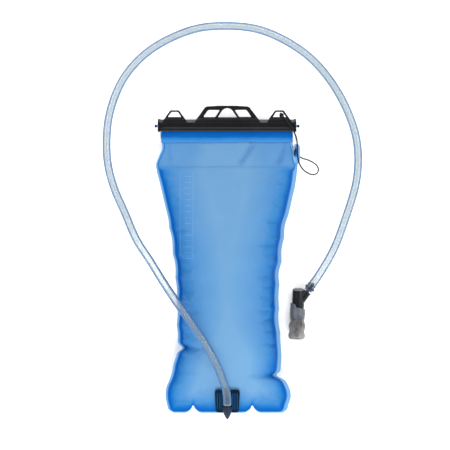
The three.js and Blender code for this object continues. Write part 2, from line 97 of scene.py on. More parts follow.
# Short simulation of the film
SIM_STEP = 2  # it runs on every second row and column of the film's grid
SIM_FRAMES = 20
SIM_BLUR = 6  # coarse grid steps. Anything slower than this is left out
SIM_CAP = 2.5  # the most that it may move a point
FILM_SLACK = 0.02
CLOTH = {
    "quality": 6, "mass": 0.15, "tension_stiffness": 30, "compression_stiffness": 30,
    "shear_stiffness": 20, "bending_stiffness": 0.02, "vertex_group_mass": "pins",
    "use_pressure": True, "uniform_pressure_force": 4, "shrink_min": -FILM_SLACK,
}
WRINKLE_FADE = (16.0, 40.0)  # how far from the weld the simulated wrinkles fade out

# Port
PORT_TILT = math.radians(14)
PORT_Y = -156.3
PORT_X = 0.4
SPOUT_HEIGHT = 8.9
CAD_FLANGE_TOP = 21.15
# The ribs' tops get a painted highlight, which fades in between these two heights.
PORT_RIBS = (3.5, 3.85)  # height of the ribs' feet and tops over the film

# Slider
RAIL_Z = SEAM_Z + 1
ROD_Y = 172.7
FOLD_HALF = 79.0
FLAP_FOOT_Y = 153.2
FLAP_FADE = 6.5  # the flap is thin and pale this far up from its free edge
RAIL_HALF = 83.0
RAIL_TOP_Y = 180.6
ROOT_FOOT_Y = 175.4
ROOT_SLOPE = 0.72
RIDGE_Y = 169.3

# Bite valve
VALVE_Z = 10.4
VALVE_CAP_END = (86.3, -22.8)
VALVE_MOUTH = (83.8, -84.0)
INLET_JOINT = (85.6, -41.5)
INLET_ANGLE = math.radians(54)
CUFF_SLOPE = math.tan(math.radians(26))
CUFF_TOP = 17.1

# Cords: the same listed points as the CAD routes
HOSE_DIAMETER = 9.8
HOSE_BORE = 6.4
HOSE_ROUTE = [
    (0.4, -160.3, 33.1), (0.2, -152.5, 35.05), (-0.7, -144.8, 37.1), (-2.8, -136.4, 39.6),
    (-6, -127.4, 42.6), (-10.6, -115.4, 46.3), (-16.2, -104, 48.9), (-27.5, -84.2, 50.6),
    (-39.7, -66, 48.6), (-52, -48.5, 43.4), (-61.4, -36, 38), (-75.6, -15.4, 27.6),
    (-92.4, 10.8, 15.8), (-109, 36, 8.6), (-123.8, 69.6, 5.3), (-135, 95.2, 5.1),
    (-142.3, 119.3, 5.1), (-145.4, 145, 5.1), (-142.2, 186.7, 5.1), (-125, 231, 5.1),
    (-93.7, 264.7, 5.1), (-44.4, 289.2, 5.1), (-6.5, 294.5, 5.1), (41.6, 289.3, 5.1),
    (92.4, 262.8, 5.1), (124.8, 228.6, 5.1), (148.2, 185.4, 5.1), (157.6, 150, 5.1),
    (156.6, 108.6, 5.1), (142.8, 60.7, 5.4), (128.6, 24, 6.6), (112, -4.6, 9.9),
    (106.8, -12.4, 10.4), (102.1, -18.8, 10.4), (97.4, -25.3, 10.4),
]
TETHER_DIAMETER = 1.8
TETHER_ROUTE = [
    (65.4, 186.3, 17.4), (65.4, 186.3, 24.2), (66.8, 184, 28.2), (71.4, 178.2, 29.8),
    (77.3, 170.4, 29.3), (81.5, 162.4, 27.6), (83.8, 153.6, 25.4), (84.2, 145, 24.4),
    (84.8, 136.2, 24.4), (86.9, 127.3, 23.9), (91.8, 120.2, 20), (97.8, 116.3, 15),
    (103.7, 114.5, 11.6), (108.6, 116.5, 9.8), (110.2, 121, 9.6), (108.6, 125.3, 10.6),
    (103.7, 129.2, 12.8), (97.4, 132.2, 15.6), (90.6, 134.2, 17.4), (86, 137.2, 18.2),
    (83.3, 140.6, 18.4), (82.3, 144, 18.6), (81.8, 146.6, 19.7), (81.7, 147.7, 22.3),
    (81.6, 146.6, 24.9), (81.5, 144, 26), (81.3, 140.6, 25.4), (81, 137.4, 23.95),
]


# ---- camera
def add_camera():
    """Straight above the object, with the top of the picture towards the slider."""
    data = bpy.data.cameras.new("camera")
    camera = bpy.data.objects.new("camera", data)
    bpy.context.collection.objects.link(camera)
    data.sensor_width = 36
    data.lens = data.sensor_width * (CAMERA_HEIGHT - SEAM_Z) / VIEW_WIDTH
    data.clip_end = 50
    camera.location = Vector((*VIEW_CENTRE, CAMERA_HEIGHT)) * MM
    bpy.context.scene.camera = camera


add_camera()


# ---- node helpers
def tint(code):
    """A colour written as #rrggbb, as the shader wants it."""
    parts = [int(code[i:i + 2], 16) / 255 for i in (1, 3, 5)]
    return tuple(c / 12.92 if c <= 0.04045 else ((c + 0.055) / 1.055) ** 2.4 for c in parts)


class Nodes:
    """A short way to add nodes to one material."""

    def __init__(self, name):
        self.material = bpy.data.materials.new(name)
        self.material.use_nodes = True
        self.tree = self.material.node_tree
        self.tree.nodes.clear()
        self.output = self.tree.nodes.new("ShaderNodeOutputMaterial")
        self.place = self.add("ShaderNodeTexCoord").outputs["Object"]

    def add(self, kind, **values):
        node = self.tree.nodes.new(kind)
        for key, value in values.items():
            setattr(node, key, value)
        return node

    def link(self, source, target):
        self.tree.links.new(source, target)

    def feed(self, node, **inputs):
        """Sets each input of a node to a number or a colour, or links it to another node."""
        for key, value in inputs.items():
            self.put(node.inputs[key.replace("_", " ")], value)

    def put(self, socket, value):
        """Sets or links one input."""
        if isinstance(value, (int, float)):
            socket.default_value = value
        elif isinstance(value, tuple):
            socket.default_value = (*value, 1)
        else:
            self.link(value, socket)

    def noise(self, scale, detail=3.0, rough=0.5, stretch=None):
        node = self.add("ShaderNodeTexNoise")
        place = self.place
        if stretch:
            mapping = self.add("ShaderNodeMapping")
            mapping.inputs["Scale"].default_value = stretch
            self.link(place, mapping.inputs["Vector"])
            place = mapping.outputs[0]
        self.feed(node, Scale=scale, Detail=detail, Roughness=rough, Vector=place)
        return node.outputs["Fac"]

    def cells(self, scale):
        node = self.add("ShaderNodeTexVoronoi")
        self.feed(node, Scale=scale, Vector=self.place)
        return node.outputs["Distance"]

    def axes(self):
        """X, Y and Z of the point on the surface."""
        node = self.add("ShaderNodeSeparateXYZ")
        self.feed(node, Vector=self.place)
        return node.outputs

    def attribute(self, name):
        return self.add("ShaderNodeAttribute", attribute_name=name).outputs["Fac"]

    def ramp(self, source, stops):
        node = self.add("ShaderNodeValToRGB")
        elements = node.color_ramp.elements
        while len(elements) < len(stops):
            elements.new(0.5)
        for element, (position, colour) in zip(elements, stops):
            element.position = position
            element.color = (*colour, 1)
        self.link(source, node.inputs["Fac"])
        return node.outputs["Color"]

    def span(self, source, low, high, start=0.0, end=1.0):
        """source from start..end, mapped to low..high."""
        node = self.add("ShaderNodeMapRange")
        self.feed(node, Value=source, From_Min=start, From_Max=end, To_Min=low, To_Max=high)
        return node.outputs[0]

    def mix(self, factor, a, b):
        node = self.add("ShaderNodeMix", data_type="RGBA")
        for index, value in ((0, factor), (6, a), (7, b)):
            self.put(node.inputs[index], value)
        return node.outputs[2]

    def shade(self, source, dark, light, start=0.3, end=0.7):
        """A colour that goes from dark to light as source goes from start to end."""
        return self.mix(self.span(source, 0, 1, start, end), tint(dark), tint(light))

    def maths(self, operation, a, b):
        node = self.add("ShaderNodeMath", operation=operation)
        for socket, value in zip(node.inputs, (a, b)):
            self.put(socket, value)
        return node.outputs[0]

    def bump(self, height, distance_mm, strength, after=None):
        node = self.add("ShaderNodeBump")
        self.feed(node, Height=height, Distance=distance_mm * MM, Strength=strength)
        if after is not None:
            self.feed(node, Normal=after)
        return node.outputs[0]

    def principled(self, colour, roughness, normal=None, **plain):
        node = self.add("ShaderNodeBsdfPrincipled")
        self.feed(node, Base_Color=colour, Roughness=roughness, **plain)
        if normal is not None:
            self.feed(node, Normal=normal)
        return node.outputs[0]

    def over(self, share, below, above):
        """share of the shader above, and the rest of the one below."""
        node = self.add("ShaderNodeMixShader")
        for socket, value in zip(node.inputs, (share, below, above)):
            self.put(socket, value)
        return node.outputs[0]

    def clear(self, colour):
        node = self.add("ShaderNodeBsdfTransparent")
        self.feed(node, Color=colour)
        return node.outputs[0]

    def see_through(self, shader, colour, share):
        """Lets share of the light straight through, tinted."""
        return self.over(share, shader, self.clear(colour))

    def edge_on(self, low, high, start, end):
        """low where the surface is seen face on, high where it is seen edge on."""
        node = self.add("ShaderNodeLayerWeight")
        self.feed(node, Blend=0.5)
        return self.span(node.outputs["Facing"], low, high, start, end)

    def glossed(self, shader, roughness, most):
        """A clear gloss over everything below it, stronger at a grazing angle, up to most."""
        fresnel = self.add("ShaderNodeFresnel")
        self.feed(fresnel, IOR=CLEAR_IOR)
        gloss = self.add("ShaderNodeBsdfGlossy")
        self.feed(gloss, Roughness=roughness)
        share = self.maths("MINIMUM", fresnel.outputs[0], most)
        return self.over(share, shader, gloss.outputs[0])

    def faint_shadow(self, shader, passing):
        """Clear plastic casts a faint shadow: passing is the light that gets through one wall."""
        in_shadow = self.add("ShaderNodeLightPath").outputs["Is Shadow Ray"]
        return self.over(in_shadow, shader, self.clear(passing))

    def done(self, shader):
        self.link(shader, self.output.inputs["Surface"])
        return self.material


# ---- materials
CLEAR_IOR = 1.42
# The film's four colours, from the welded outline inwards, and where each one lies.
WELD_TINT = "#6089ae"
SEAM_TINT = "#004c94"
SIDE_TINT = "#1f6299"
MIDDLE_TINT = "#507a9d"
WELD_WIDTH = 2.8
SEAM_START, SEAM_END = 4.4, 6.6
SIDE_START = 12.0
EDGE_REACH = 58.0
LOW_END, LOW_GAIN = (-125.0, -55.0), 0.9  # towards the foot the middle colour starts sooner
# The scale moulded into the film: two rules with short marks beside them.
SCALE_RULES = (-56.0, -40.5)
SCALE_MARKS = (-50.5, -42.5)
SCALE_FOOT, SCALE_HEAD = 12.0, 117.0
SCALE_PITCH = 7.0
RULE_HALF = 0.3


def scale_marks(n):
    """1 on the rules and marks of the scale."""
    x, y, _ = n.axes()

    def within(value, low, high):
        above = n.maths("GREATER_THAN", value, low * MM)
        below = n.maths("LESS_THAN", value, high * MM)
        return n.maths("MULTIPLY", above, below)

    rules = n.maths("ADD", *[within(x, rule - RULE_HALF, rule + RULE_HALF) for rule in SCALE_RULES])
    phase = n.maths("PINGPONG", y, 0.5 * SCALE_PITCH * MM)
    marks = n.maths("MULTIPLY", within(x, *SCALE_MARKS), within(phase, -1, 0.35))
    lines = n.maths("MAXIMUM", rules, marks)
    return n.maths("MULTIPLY", lines, within(y, SCALE_FOOT, SCALE_HEAD))


def film_colour(n, edge):
    """Deep blue along the seam, paler towards the middle, with soft clouds, and painted shade deepening
    the creases.
    """
    inner = n.span(edge, 0, 1, 0.12, 0.4)
    wander = n.maths("MULTIPLY", inner, n.span(n.noise(14, 3), -0.06, 0.06))
    colour = n.ramp(n.maths("ADD", edge, wander), [
        (0.0, tint(WELD_TINT)),
        (WELD_WIDTH / EDGE_REACH, tint(WELD_TINT)),
        (SEAM_START / EDGE_REACH, tint(SEAM_TINT)),
        (SEAM_END / EDGE_REACH, tint(SEAM_TINT)),
        (SIDE_START / EDGE_REACH, tint(SIDE_TINT)),
        (1.0, tint(MIDDLE_TINT)),
    ])
    # Painted shade: the wrinkles are darkened towards the seam's deep blue. The panel weld line is
    # deepened as well.
    colour = n.mix(n.span(n.attribute("crease_shade_and_weld"), 0, 0.75), colour, tint(SEAM_TINT))
    cloud = n.maths("MULTIPLY", inner, n.span(n.noise(26, 4, 0.6), 0.0, 0.08))
    return n.mix(cloud, colour, tint("#a8c4e0"))


def film_material():
    """Milky blue film, glossy where it is stretched and frosted on the weld."""
    n = Nodes("film")
    edge = n.attribute("edge")
    lines = scale_marks(n)
    faint = n.maths("MULTIPLY", lines, n.span(n.noise(160, 2), 0.0, 0.3))
    colour = n.mix(faint, film_colour(n, edge), tint("#8fb4d8"))
    weld = n.span(edge, 1.0, 0.0, WELD_WIDTH / EDGE_REACH, SEAM_START / EDGE_REACH)
    frost = n.maths("MULTIPLY", n.cells(620), weld)
    peel = n.noise(300, 3, 0.55)
    normal = n.bump(n.noise(34, 3, 0.5), 0.5, 0.4)
    normal = n.bump(peel, 0.04, 0.3, normal)
    normal = n.bump(frost, 0.2, 0.5, normal)
    normal = n.bump(lines, 0.15, 0.5, normal)
    rough = n.maths("ADD", n.span(peel, 0.26, 0.36), n.maths("MULTIPLY", weld, 0.2))
    shader = n.principled(colour, rough, normal, IOR=1.46, Specular_IOR_Level=0.09)
    return n.done(n.see_through(shader, tint("#5fa8e8"), n.span(edge, 0.16, 0.10, 0.0, 0.2)))


def fold_material():
    """Doubled film: the same blue, much deeper, thinning out towards the flap's free edge."""
    n = Nodes("folded_film")
    ragged = n.maths("ADD", n.axes()[1], n.span(n.noise(70, 4, 0.6), -1.5 * MM, 1.5 * MM))
    thick = n.span(ragged, 0, 1, (FLAP_FOOT_Y + 0.8) * MM, (FLAP_FOOT_Y + FLAP_FADE) * MM)
    streak = n.noise(60, 4, 0.6, (0.25, 1, 1))
    fine = n.noise(420, 2)
    colour = n.mix(thick, tint("#3f83bd"), n.shade(streak, "#004386", "#004e92"))
    normal = n.bump(streak, 0.1, 0.4)
    normal = n.bump(fine, 0.03, 0.3, normal)
    shader = n.principled(colour, n.span(fine, 0.24, 0.36), normal, Specular_IOR_Level=0.12)
    return n.done(n.see_through(shader, tint("#7db4e6"), n.span(thick, 0.4, 0.04)))


def tab_material():
    """The tab beside the mouth: one thickness of frosted film, deeper round its slot."""
    n = Nodes("tab_film")
    plain = n.shade(n.noise(90, 3, 0.6), "#5c93c6", "#7dafd8")
    colour = n.mix(n.attribute("rim"), plain, tint("#0f63b0"))
    fine = n.noise(520, 2)
    normal = n.bump(fine, 0.08, 0.5)
    shader = n.principled(colour, n.span(fine, 0.3, 0.5), normal, Specular_IOR_Level=0.3)
    return n.done(n.see_through(shader, tint("#a9cdf0"), 0.3))


def plastic(name, dark, light, rough, grain=520, depth=0.03, specular=0.5):
    """Moulded plastic: a fine grain, slow colour drift and uneven gloss."""
    n = Nodes(name)
    colour = n.shade(n.noise(45, 4, 0.6), dark, light, 0.3, 0.75)
    normal = n.bump(n.noise(grain, 3), depth, 0.5)
    gloss = n.span(n.noise(130, 4, 0.65), rough * 0.75, rough * 1.35)
    return n.done(n.principled(colour, gloss, normal, Specular_IOR_Level=specular))


def hose_material():
    """The hose's clear glossy outer wall, dense where it is seen edge on."""
    n = Nodes("clear_hose")
    colour = n.shade(n.noise(40, 3), "#3c5c82", "#48688c")
    normal = n.bump(n.noise(60, 2), 0.03, 0.08)
    shader = n.principled(colour, 0.3, normal, Specular_IOR_Level=0.0)
    wall = n.see_through(shader, tint("#ecece8"), n.edge_on(0.97, 0.08, 0.12, 0.38))
    return n.done(n.faint_shadow(n.glossed(wall, 0.22, 0.07), tint("#f6f8fc")))


def bore_material():
    """The hose's bore: a faint milky bloom, broken up along its length."""
    n = Nodes("hose_bore")
    bloom = n.noise(30, 3, 0.5)
    colour = n.shade(bloom, "#bacad6", "#cad7e0")
    normal = n.bump(n.noise(80, 2), 0.03, 0.1)
    shader = n.principled(colour, n.span(bloom, 0.3, 0.5), normal, Specular_IOR_Level=0.0)
    bore = n.see_through(shader, tint("#edf0f1"), n.span(bloom, 0.92, 0.88))
    return n.done(n.faint_shadow(bore, tint("#f8fafc")))


def silicone(name, dark, light, cloud_scale, clear=None):
    """Soft silicone: matt and cloudy. clear is the light let through, face on and edge on."""
    n = Nodes(name)
    cloud = n.noise(cloud_scale, 4, 0.55)
    colour = n.shade(cloud, dark, light, 0.36, 0.64)
    normal = n.bump(n.noise(700, 2), 0.04, 0.5)
    shader = n.principled(colour, n.span(cloud, 0.3, 0.45), normal, Specular_IOR_Level=0.5)
    if clear:
        shader = n.see_through(shader, tint("#e4e3e0"), n.edge_on(*clear, 0.1, 0.6))
    return n.done(shader)


def cord_material():
    """Fine black braid."""
    n = Nodes("cord")
    braid = n.cells(1500)
    colour = n.mix(braid, tint("#060607"), tint("#18181b"))
    normal = n.bump(braid, 0.15, 0.8)
    rough = n.span(braid, 0.6, 0.85)
    return n.done(n.principled(colour, rough, normal, Specular_IOR_Level=0.2))


# Each finish is a material and the name of the slot that it stands for.
FILM = film_material(), "film"
FOLD = fold_material(), "folded_film"
TAB = tab_material(), "folded_film"
SLIDER = plastic("slider_plastic", "#09090b", "#111113", 0.17, specular=0.4), "slider_plastic"
CORD = cord_material(), "cord"
SPOUT = plastic("spout_plastic", "#141c2a", "#212b3a", 0.35, 420, 0.05, 0.12), "port_plastic"
RUBBER = plastic("seal_rubber", "#0e0e11", "#1c1c1f", 0.55, 900, 0.02, 0.3), "seal_rubber"
HOSE = hose_material(), "clear_hose"
COLLAR = plastic("collar_plastic", "#070b14", "#101a2e", 0.2), "collar_plastic"
HOUSING = plastic("valve_plastic", "#0b0c0e", "#141517", 0.3, 700, specular=0.22), "valve_plastic"
CAP = plastic("cap_plastic", "#4c4d50", "#5f6063", 0.4, 700, specular=0.35), "cap_plastic"
CUFF = silicone("cuff_rubber", "#343a43", "#54565a", 110), "cuff_rubber"
MOUTH = silicone("mouth_silicone", "#33353a", "#7d7c7a", 70, (0.55, 0.2)), "mouth_silicone"


# ---- mesh helpers
def add_mesh(name, points_m, faces):
    """A mesh object from points in metres."""
    mesh = bpy.data.meshes.new(name)
    mesh.from_pydata(points_m, [], faces)
    piece = bpy.data.objects.new(name, mesh)
    bpy.context.collection.objects.link(piece)
    return piece


def make(name, points, faces, finish, body, replaces=()):
    """A smooth piece from points in millimetres, riding on a body and standing for CAD nodes."""
    piece = add_mesh(name, [tuple(c * MM for c in p) for p in points], faces)
    mesh = piece.data
    material, slot = finish
    mesh.materials.append(material)
    mesh.polygons.foreach_set("use_smooth", [True] * len(mesh.polygons))
    mesh.update()
    if body:
        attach(piece, body)
    if replaces:
        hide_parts(*replaces)
    return piece


def bevel(piece, width_mm, segments=3, angle=30):
    """Softly breaks a piece's edges."""
    modifier = piece.modifiers.new("bevel", "BEVEL")
    modifier.width = width_mm * MM
    modifier.segments = segments
    modifier.limit_method = "ANGLE"
    modifier.angle_limit = math.radians(angle)
    modifier.harden_normals = True


def grid_faces(rows, columns, closed=False, ring=False):
    """Quads of a grid of points. closed joins its last column to the first, and ring its rows."""
    faces = []
    for r in range(rows if ring else rows - 1):
        low = r * columns
        high = (r + 1) % rows * columns
        for c in range(columns if closed else columns - 1):
            right = (c + 1) % columns
            faces.append((low + c, low + right, high + right, high + c))
    return faces


def flipped(faces):
    """The same faces, seen from their other side."""
    return [tuple(reversed(f)) for f in faces]


def capped(faces, total, count):
    """The faces of a swept section of count points, with its two ends closed."""
    return [*faces, tuple(reversed(range(count))), tuple(range(total - count, total))]


def spline(route, steps):
    """Centripetal curve through the route's points, evenly sampled, and its length."""
    parts = 24
    points = [Vector(p) for p in route]
    padded = [2 * points[0] - points[1], *points, 2 * points[-1] - points[-2]]
    fine = []
    for a, b, c, d in zip(padded, padded[1:], padded[2:], padded[3:]):
        k1 = max((b - a).length ** 0.5, 1e-6)
        k2 = k1 + max((c - b).length ** 0.5, 1e-6)
        k3 = k2 + max((d - c).length ** 0.5, 1e-6)
        for i in range(parts):
            t = k1 + (k2 - k1) * i / parts
            ab = a.lerp(b, t / k1)
            bc = b.lerp(c, (t - k1) / (k2 - k1))
            cd = c.lerp(d, (t - k2) / (k3 - k2))
            abc = ab.lerp(bc, t / k2)
            bcd = bc.lerp(cd, (t - k1) / (k3 - k1))
            fine.append(abc.lerp(bcd, (t - k1) / (k2 - k1)))
    fine.append(points[-1])
    along = [0.0]
    for p, q in zip(fine, fine[1:]):
        along.append(along[-1] + (q - p).length)
    table = np.array([tuple(p) for p in fine])
    places = np.linspace(0, along[-1], steps + 1)
    even = np.stack([np.interp(places, along, table[:, k]) for k in range(3)], axis=1)
    return [Vector(p) for p in even], along[-1]


def sweep(path, radius, sides):
    """Rings of points round a path, with as little twist as possible."""
    rings = []
    direction = (path[1] - path[0]).normalized()
    side = direction.orthogonal().normalized()
    for i, point in enumerate(path):
        ahead = path[min(i + 1, len(path) - 1)]
        behind = path[max(i - 1, 0)]
        direction = (ahead - behind).normalized()
        side = (side - direction * side.dot(direction)).normalized()
        other = direction.cross(side)
        for k in range(sides):
            angle = 2 * math.pi * k / sides
            rings.append(point + radius * (math.cos(angle) * side + math.sin(angle) * other))
    return rings


def frame_along(origin, direction, up=(0, 0, 1)):
    """A matrix whose Y axis is direction and whose Z axis is up, in millimetres."""
    y = Vector(direction).normalized()
    z = Vector(up).normalized()
    x = y.cross(z)
    matrix = Matrix((x, y, z)).transposed().to_4x4()
    matrix.translation = Vector(origin)
    return matrix


def rounded(profile, radius):
    """The profile with each corner rounded off, up to the given radius."""
    steps = 4
    out = [profile[0]]
    for a, b, c in zip(profile, profile[1:], profile[2:]):
        va, vb, vc = Vector(a), Vector(b), Vector(c)
        reach = min(radius, 0.45 * (va - vb).length, 0.45 * (vc - vb).length)
        before = vb + (va - vb).normalized() * reach
        after = vb + (vc - vb).normalized() * reach
        for i in range(steps + 1):
            t = i / steps
            out.append(tuple(before.lerp(vb, t).lerp(vb.lerp(after, t), t)))
    out.append(profile[-1])
    return out


def turned(name, profile, matrix, finish, body, replaces=(), sides=64, radius=0.4):
    """A [radius, station] profile turned about the matrix's Y axis, or a ring if it is closed."""
    path = rounded(profile, radius)
    ring = profile[0] == profile[-1]
    if ring:
        path.pop()
    points = []
    for r, y in path:
        for k in range(sides):
            angle = 2 * math.pi * k / sides
            points.append(matrix @ Vector((r * math.cos(angle), y, r * math.sin(angle))))
    faces = grid_faces(len(path), sides, closed=True, ring=ring)
    piece = make(name, points, faces, finish, body, replaces)
    tidy = bmesh.new()
    tidy.from_mesh(piece.data)
    bmesh.ops.remove_doubles(tidy, verts=tidy.verts, dist=1e-6)
    bmesh.ops.recalc_face_normals(tidy, faces=tidy.faces)
    tidy.to_mesh(piece.data)
    tidy.free()


# ---- hose and tether
def add_hose():
    """The drinking hose: a hollow wall along its whole route."""
    path, length = spline(HOSE_ROUTE, steps=420)
    sides = 32
    outer = sweep(path, HOSE_DIAMETER / 2, sides)
    inner = sweep(path, HOSE_BORE / 2, sides)
    rows = len(path)
    wall = grid_faces(rows, sides, closed=True)
    faces = wall + [tuple(rows * sides + i for i in f) for f in flipped(wall)]
    for end in (0, rows - 1):
        for k in range(sides):
            a = end * sides + k
            b = end * sides + (k + 1) % sides
            rim = (a, b, b + rows * sides, a + rows * sides)
            faces.append(rim if end else tuple(reversed(rim)))
    piece = make("hose", [*outer, *inner], faces, HOSE, "reservoir", ["drink_tube"])
    piece.data.materials.append(bore_material())
    for i in range(len(wall)):
        piece.data.polygons[len(wall) + i].material_index = 1
    return piece, path, length


def add_tether():
    """The cord from the slider's loop to the tab."""
    path, length = spline(TETHER_ROUTE, steps=150)
    sides = 12
    points = sweep(path, TETHER_DIAMETER / 2, sides)
    faces = capped(grid_faces(len(path), sides, closed=True), len(points), sides)
    piece = make("tether", points, faces, CORD, None, ["tether_cord"])
    return piece, path, length


HOSE_PIECE, HOSE_PATH, HOSE_LENGTH = add_hose()
TETHER_PIECE, TETHER_PATH, TETHER_LENGTH = add_tether()


# ---- film bag
def smoothstep(x, low, high):
    """0 below low, 1 above high, and smooth between them."""
    t = np.clip((x - low) / (high - low), 0, 1)
    return t * t * (3 - 2 * t)


def bag_rows():
    """Height, left edge and right edge of each row of the CAD film, in millimetres."""
    points = np.array([tuple(v.co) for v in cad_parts["back_film"].data.vertices]) / MM
    same_row, least_width = 0.02, 100
    rows = []
    for y in sorted(set(np.round(points[:, 1], 2))):
        xs = points[np.abs(points[:, 1] - y) < same_row][:, 0]
        if xs.max() - xs.min() > least_width:
            rows.append((y, xs.min(), xs.max()))
    return np.array(rows)


def smooth_edge(ys, xs, y):
    """A smooth curve through the rows' edge points."""
    slopes = np.gradient(xs, ys)
    i = np.clip(np.searchsorted(ys, y) - 1, 0, len(ys) - 2)
    step = ys[i + 1] - ys[i]
    t = np.clip((y - ys[i]) / step, 0, 1)
    h = (2 * t**3 - 3 * t**2 + 1, t**3 - 2 * t**2 + t, 3 * t**2 - 2 * t**3, t**3 - t**2)
    return h[0] * xs[i] + h[1] * step * slopes[i] + h[2] * xs[i + 1] + h[3] * step * slopes[i + 1]


ROWS = bag_rows()
FOOT_Y = ROWS[0, 0]
TOP_Y = ROWS[-1, 0]


def scallop(y, phase):
    """Small waves of the welded edge where the film puckers, along the waist."""
    wave = np.abs(np.sin(math.pi * (y + phase) / SCALLOP_PITCH + 0.5 * np.sin(y / 47 + phase)))
    return SCALLOP_DEPTH * wave * smoothstep(y, -92, -70) * (1 - smoothstep(y, 50, 80))


def edges(y):
    """The film's left and right edge at y."""
    left = smooth_edge(ROWS[:, 0], ROWS[:, 1], y) + scallop(y, 7.0)
    right = smooth_edge(ROWS[:, 0], ROWS[:, 2], y) - scallop(y, 19.0)
    return left, right


def foot_line(x):
    """Bottom edge of the film. On both sides of a notch the foot curves up into it."""
    line = np.full_like(x, FOOT_Y)
    for centre in NOTCH_X:
        away = np.abs(x - centre)
        flare = np.clip(1 - away / NOTCH_FLARE, 0, 1) ** 2.3
        slot = 1 - smoothstep(away, 0.3 * NOTCH_WIDTH, 0.8 * NOTCH_WIDTH)
        line += NOTCH_DEPTH * np.maximum(flare, slot)
    return line


def fullness(y):
    """How far the bag is blown up at y, from 0 at its foot and its neck to 1."""
    foot = np.sin(np.clip((y - FOOT_Y - FOOT_FLANGE) / FOOT_TAPER, 0, 1) * math.pi / 2) ** 0.9
    neck = np.sin(np.clip((NECK_Y - y) / NECK_TAPER, 0, 1) * math.pi / 2) ** 1.1
    return foot * neck


def as_side(foot):
    """The foot's colours lie closer to its outline: its distance, turned into the side's."""
    at_foot = [0, FOOT_WELD, FOOT_SEAM_START, FOOT_SEAM_END, FOOT_SIDE, FOOT_REACH]
    at_side = [0, WELD_WIDTH, SEAM_START, SEAM_END, SIDE_START, EDGE_REACH]
    return np.interp(foot, at_foot, at_side)


def foot_distance(x, y):
    """How far a point is from the foot's outline. The bands are thinner round a notch."""
    line = foot_line(x)
    rise = np.minimum((line - FOOT_Y) / NOTCH_DEPTH, 1)
    return np.maximum(y - line, 0) * (1 + 0.9 * rise)


def film_grid():
    """Grid of the film: x, y, the share across it, and the distances from its side and its foot."""
    weld = FLANGE_COLUMNS
    flange = np.linspace(0, SIDE_FLANGE, weld + 1)[:-1]
    t = np.linspace(0, 1, FILM_COLUMNS)
    across = 0.55 * -np.cos(math.pi * t) + 0.45 * (2 * t - 1)
    foot = FOOT_Y + FOOT_FLANGE + 2
    low_rows = np.linspace(FOOT_Y, foot, FOOT_ROWS)[:-1]
    y_rows = np.concatenate([low_rows, np.linspace(foot, TOP_Y, FILM_ROWS)])
    left, right = edges(y_rows)
    middle = (left + right) / 2
    half = (right - left) / 2 - SIDE_FLANGE
    x = np.zeros((len(y_rows), 2 * weld + FILM_COLUMNS))
    u = np.zeros_like(x)
    x[:, :weld] = left[:, None] + flange
    x[:, -weld:] = right[:, None] - flange[::-1]
    x[:, weld:-weld] = middle[:, None] + across * half[:, None]
    u[:, :weld], u[:, -weld:], u[:, weld:-weld] = -1, 1, across
    y = np.repeat(y_rows[:, None], x.shape[1], axis=1)
    y += (foot_line(x) - FOOT_Y) * (1 - smoothstep(y, FOOT_Y, FOOT_Y + 20))
    side = np.minimum(x - left[:, None], right[:, None] - x)
    return x, y, u, side, foot_distance(x, y)


def stroke(x, y, start, end, width, fade=0.35):
    """1 on a straight stroke, falling off to its sides and towards its far end."""
    sx, sy = start
    dx, dy = end[0] - sx, end[1] - sy
    t = ((x - sx) * dx + (y - sy) * dy) / (dx * dx + dy * dy)
    away = np.hypot(x - sx - t * dx, y - sy - t * dy)
    ends = smoothstep(t, -0.15, 0.1) * (1 - smoothstep(t, fade, 1.05))
    return np.exp(-((away / width) ** 2)) * ends


def puckers(x, y, side):
    """Short valleys that run inwards from a side seam, unevenly spaced."""
    depth = np.zeros_like(x)
    place = PUCKER_START
    index = 0
    while place < PUCKER_END:
        wobble = noise.noise(Vector((place * 0.13, 3.7 * side, 0.4)))
        left, right = edges(np.array([place]))
        start = (left[0] + 4.5, place) if side < 0 else (right[0] - 4.5, place)
        reach = 17 + 13 * abs(wobble) + (6 if index % 3 == 0 else 0)
        end = (start[0] - side * reach, place + 9 * wobble)
        calm = 1 - 0.8 * float(smoothstep(place, 20, 90))
        depth += (0.8 + 0.8 * abs(wobble)) * calm * stroke(x, y, start, end, 3.0)
        place += PUCKER_PITCH + 9 * wobble
        index += 1
    return depth


# Longer folds: start, end, half width, depth, and the share of the length where they start to fade.
FOLDS = [
    ((31, 152), (13, 124), 3.4, 2.2, 0.7),
    ((73, 152), (59, 124), 3.6, 2.4, 0.7),
    ((-71, 150), (-62, 120), 3.6, 1.2, 0.4),
    ((-50, -94), (-26, -101), 4.5, 1.5, 0.25),
    ((-52, -92), (-30, -72), 4.0, 1.2, 0.3),
    ((56, -127), (36, -118), 4.5, 1.5, 0.25),
    ((57, -125), (44, -98), 4.0, 1.2, 0.3),
    ((-58, -158), (-48, -132), 4.5, 0.6, 0.2),
    ((56, -158), (46, -134), 4.5, 0.6, 0.2),
]


def creases(x, y):
    """Depth of every wrinkle in the front film, in millimetres."""
    depth = puckers(x, y, -1) + puckers(x, y, 1)
    for start, end, width, deep, fade in FOLDS:
        depth += deep * stroke(x, y, start, end, width, fade)
    return depth


def slow_swell(x, y, seed):
    """A gentle unevenness of the blown-up film."""
    swell = np.zeros_like(x)
    for index in np.ndindex(x.shape):
        at = Vector((x[index] * 0.021, y[index] * 0.021, seed))
        swell[index] = noise.fractal(at, 0.9, 2.1, 3)
    return swell


def hose_groove(x, y):
    """Where the hose lies on the bag it presses a shallow groove into the film."""
    groove = np.zeros_like(x)
    for point in HOSE_PATH[HOSE_ON_BAG]:
        away = (x - point.x) ** 2 + (y - point.y) ** 2
        groove = np.maximum(groove, np.exp(-(away / GROOVE_WIDTH**2)))
    return groove


def port_plane(y):
    """Height of the port's tilted seat at y."""
    return CAD_FLANGE_TOP + (y - FOOT_Y) * math.tan(PORT_TILT)


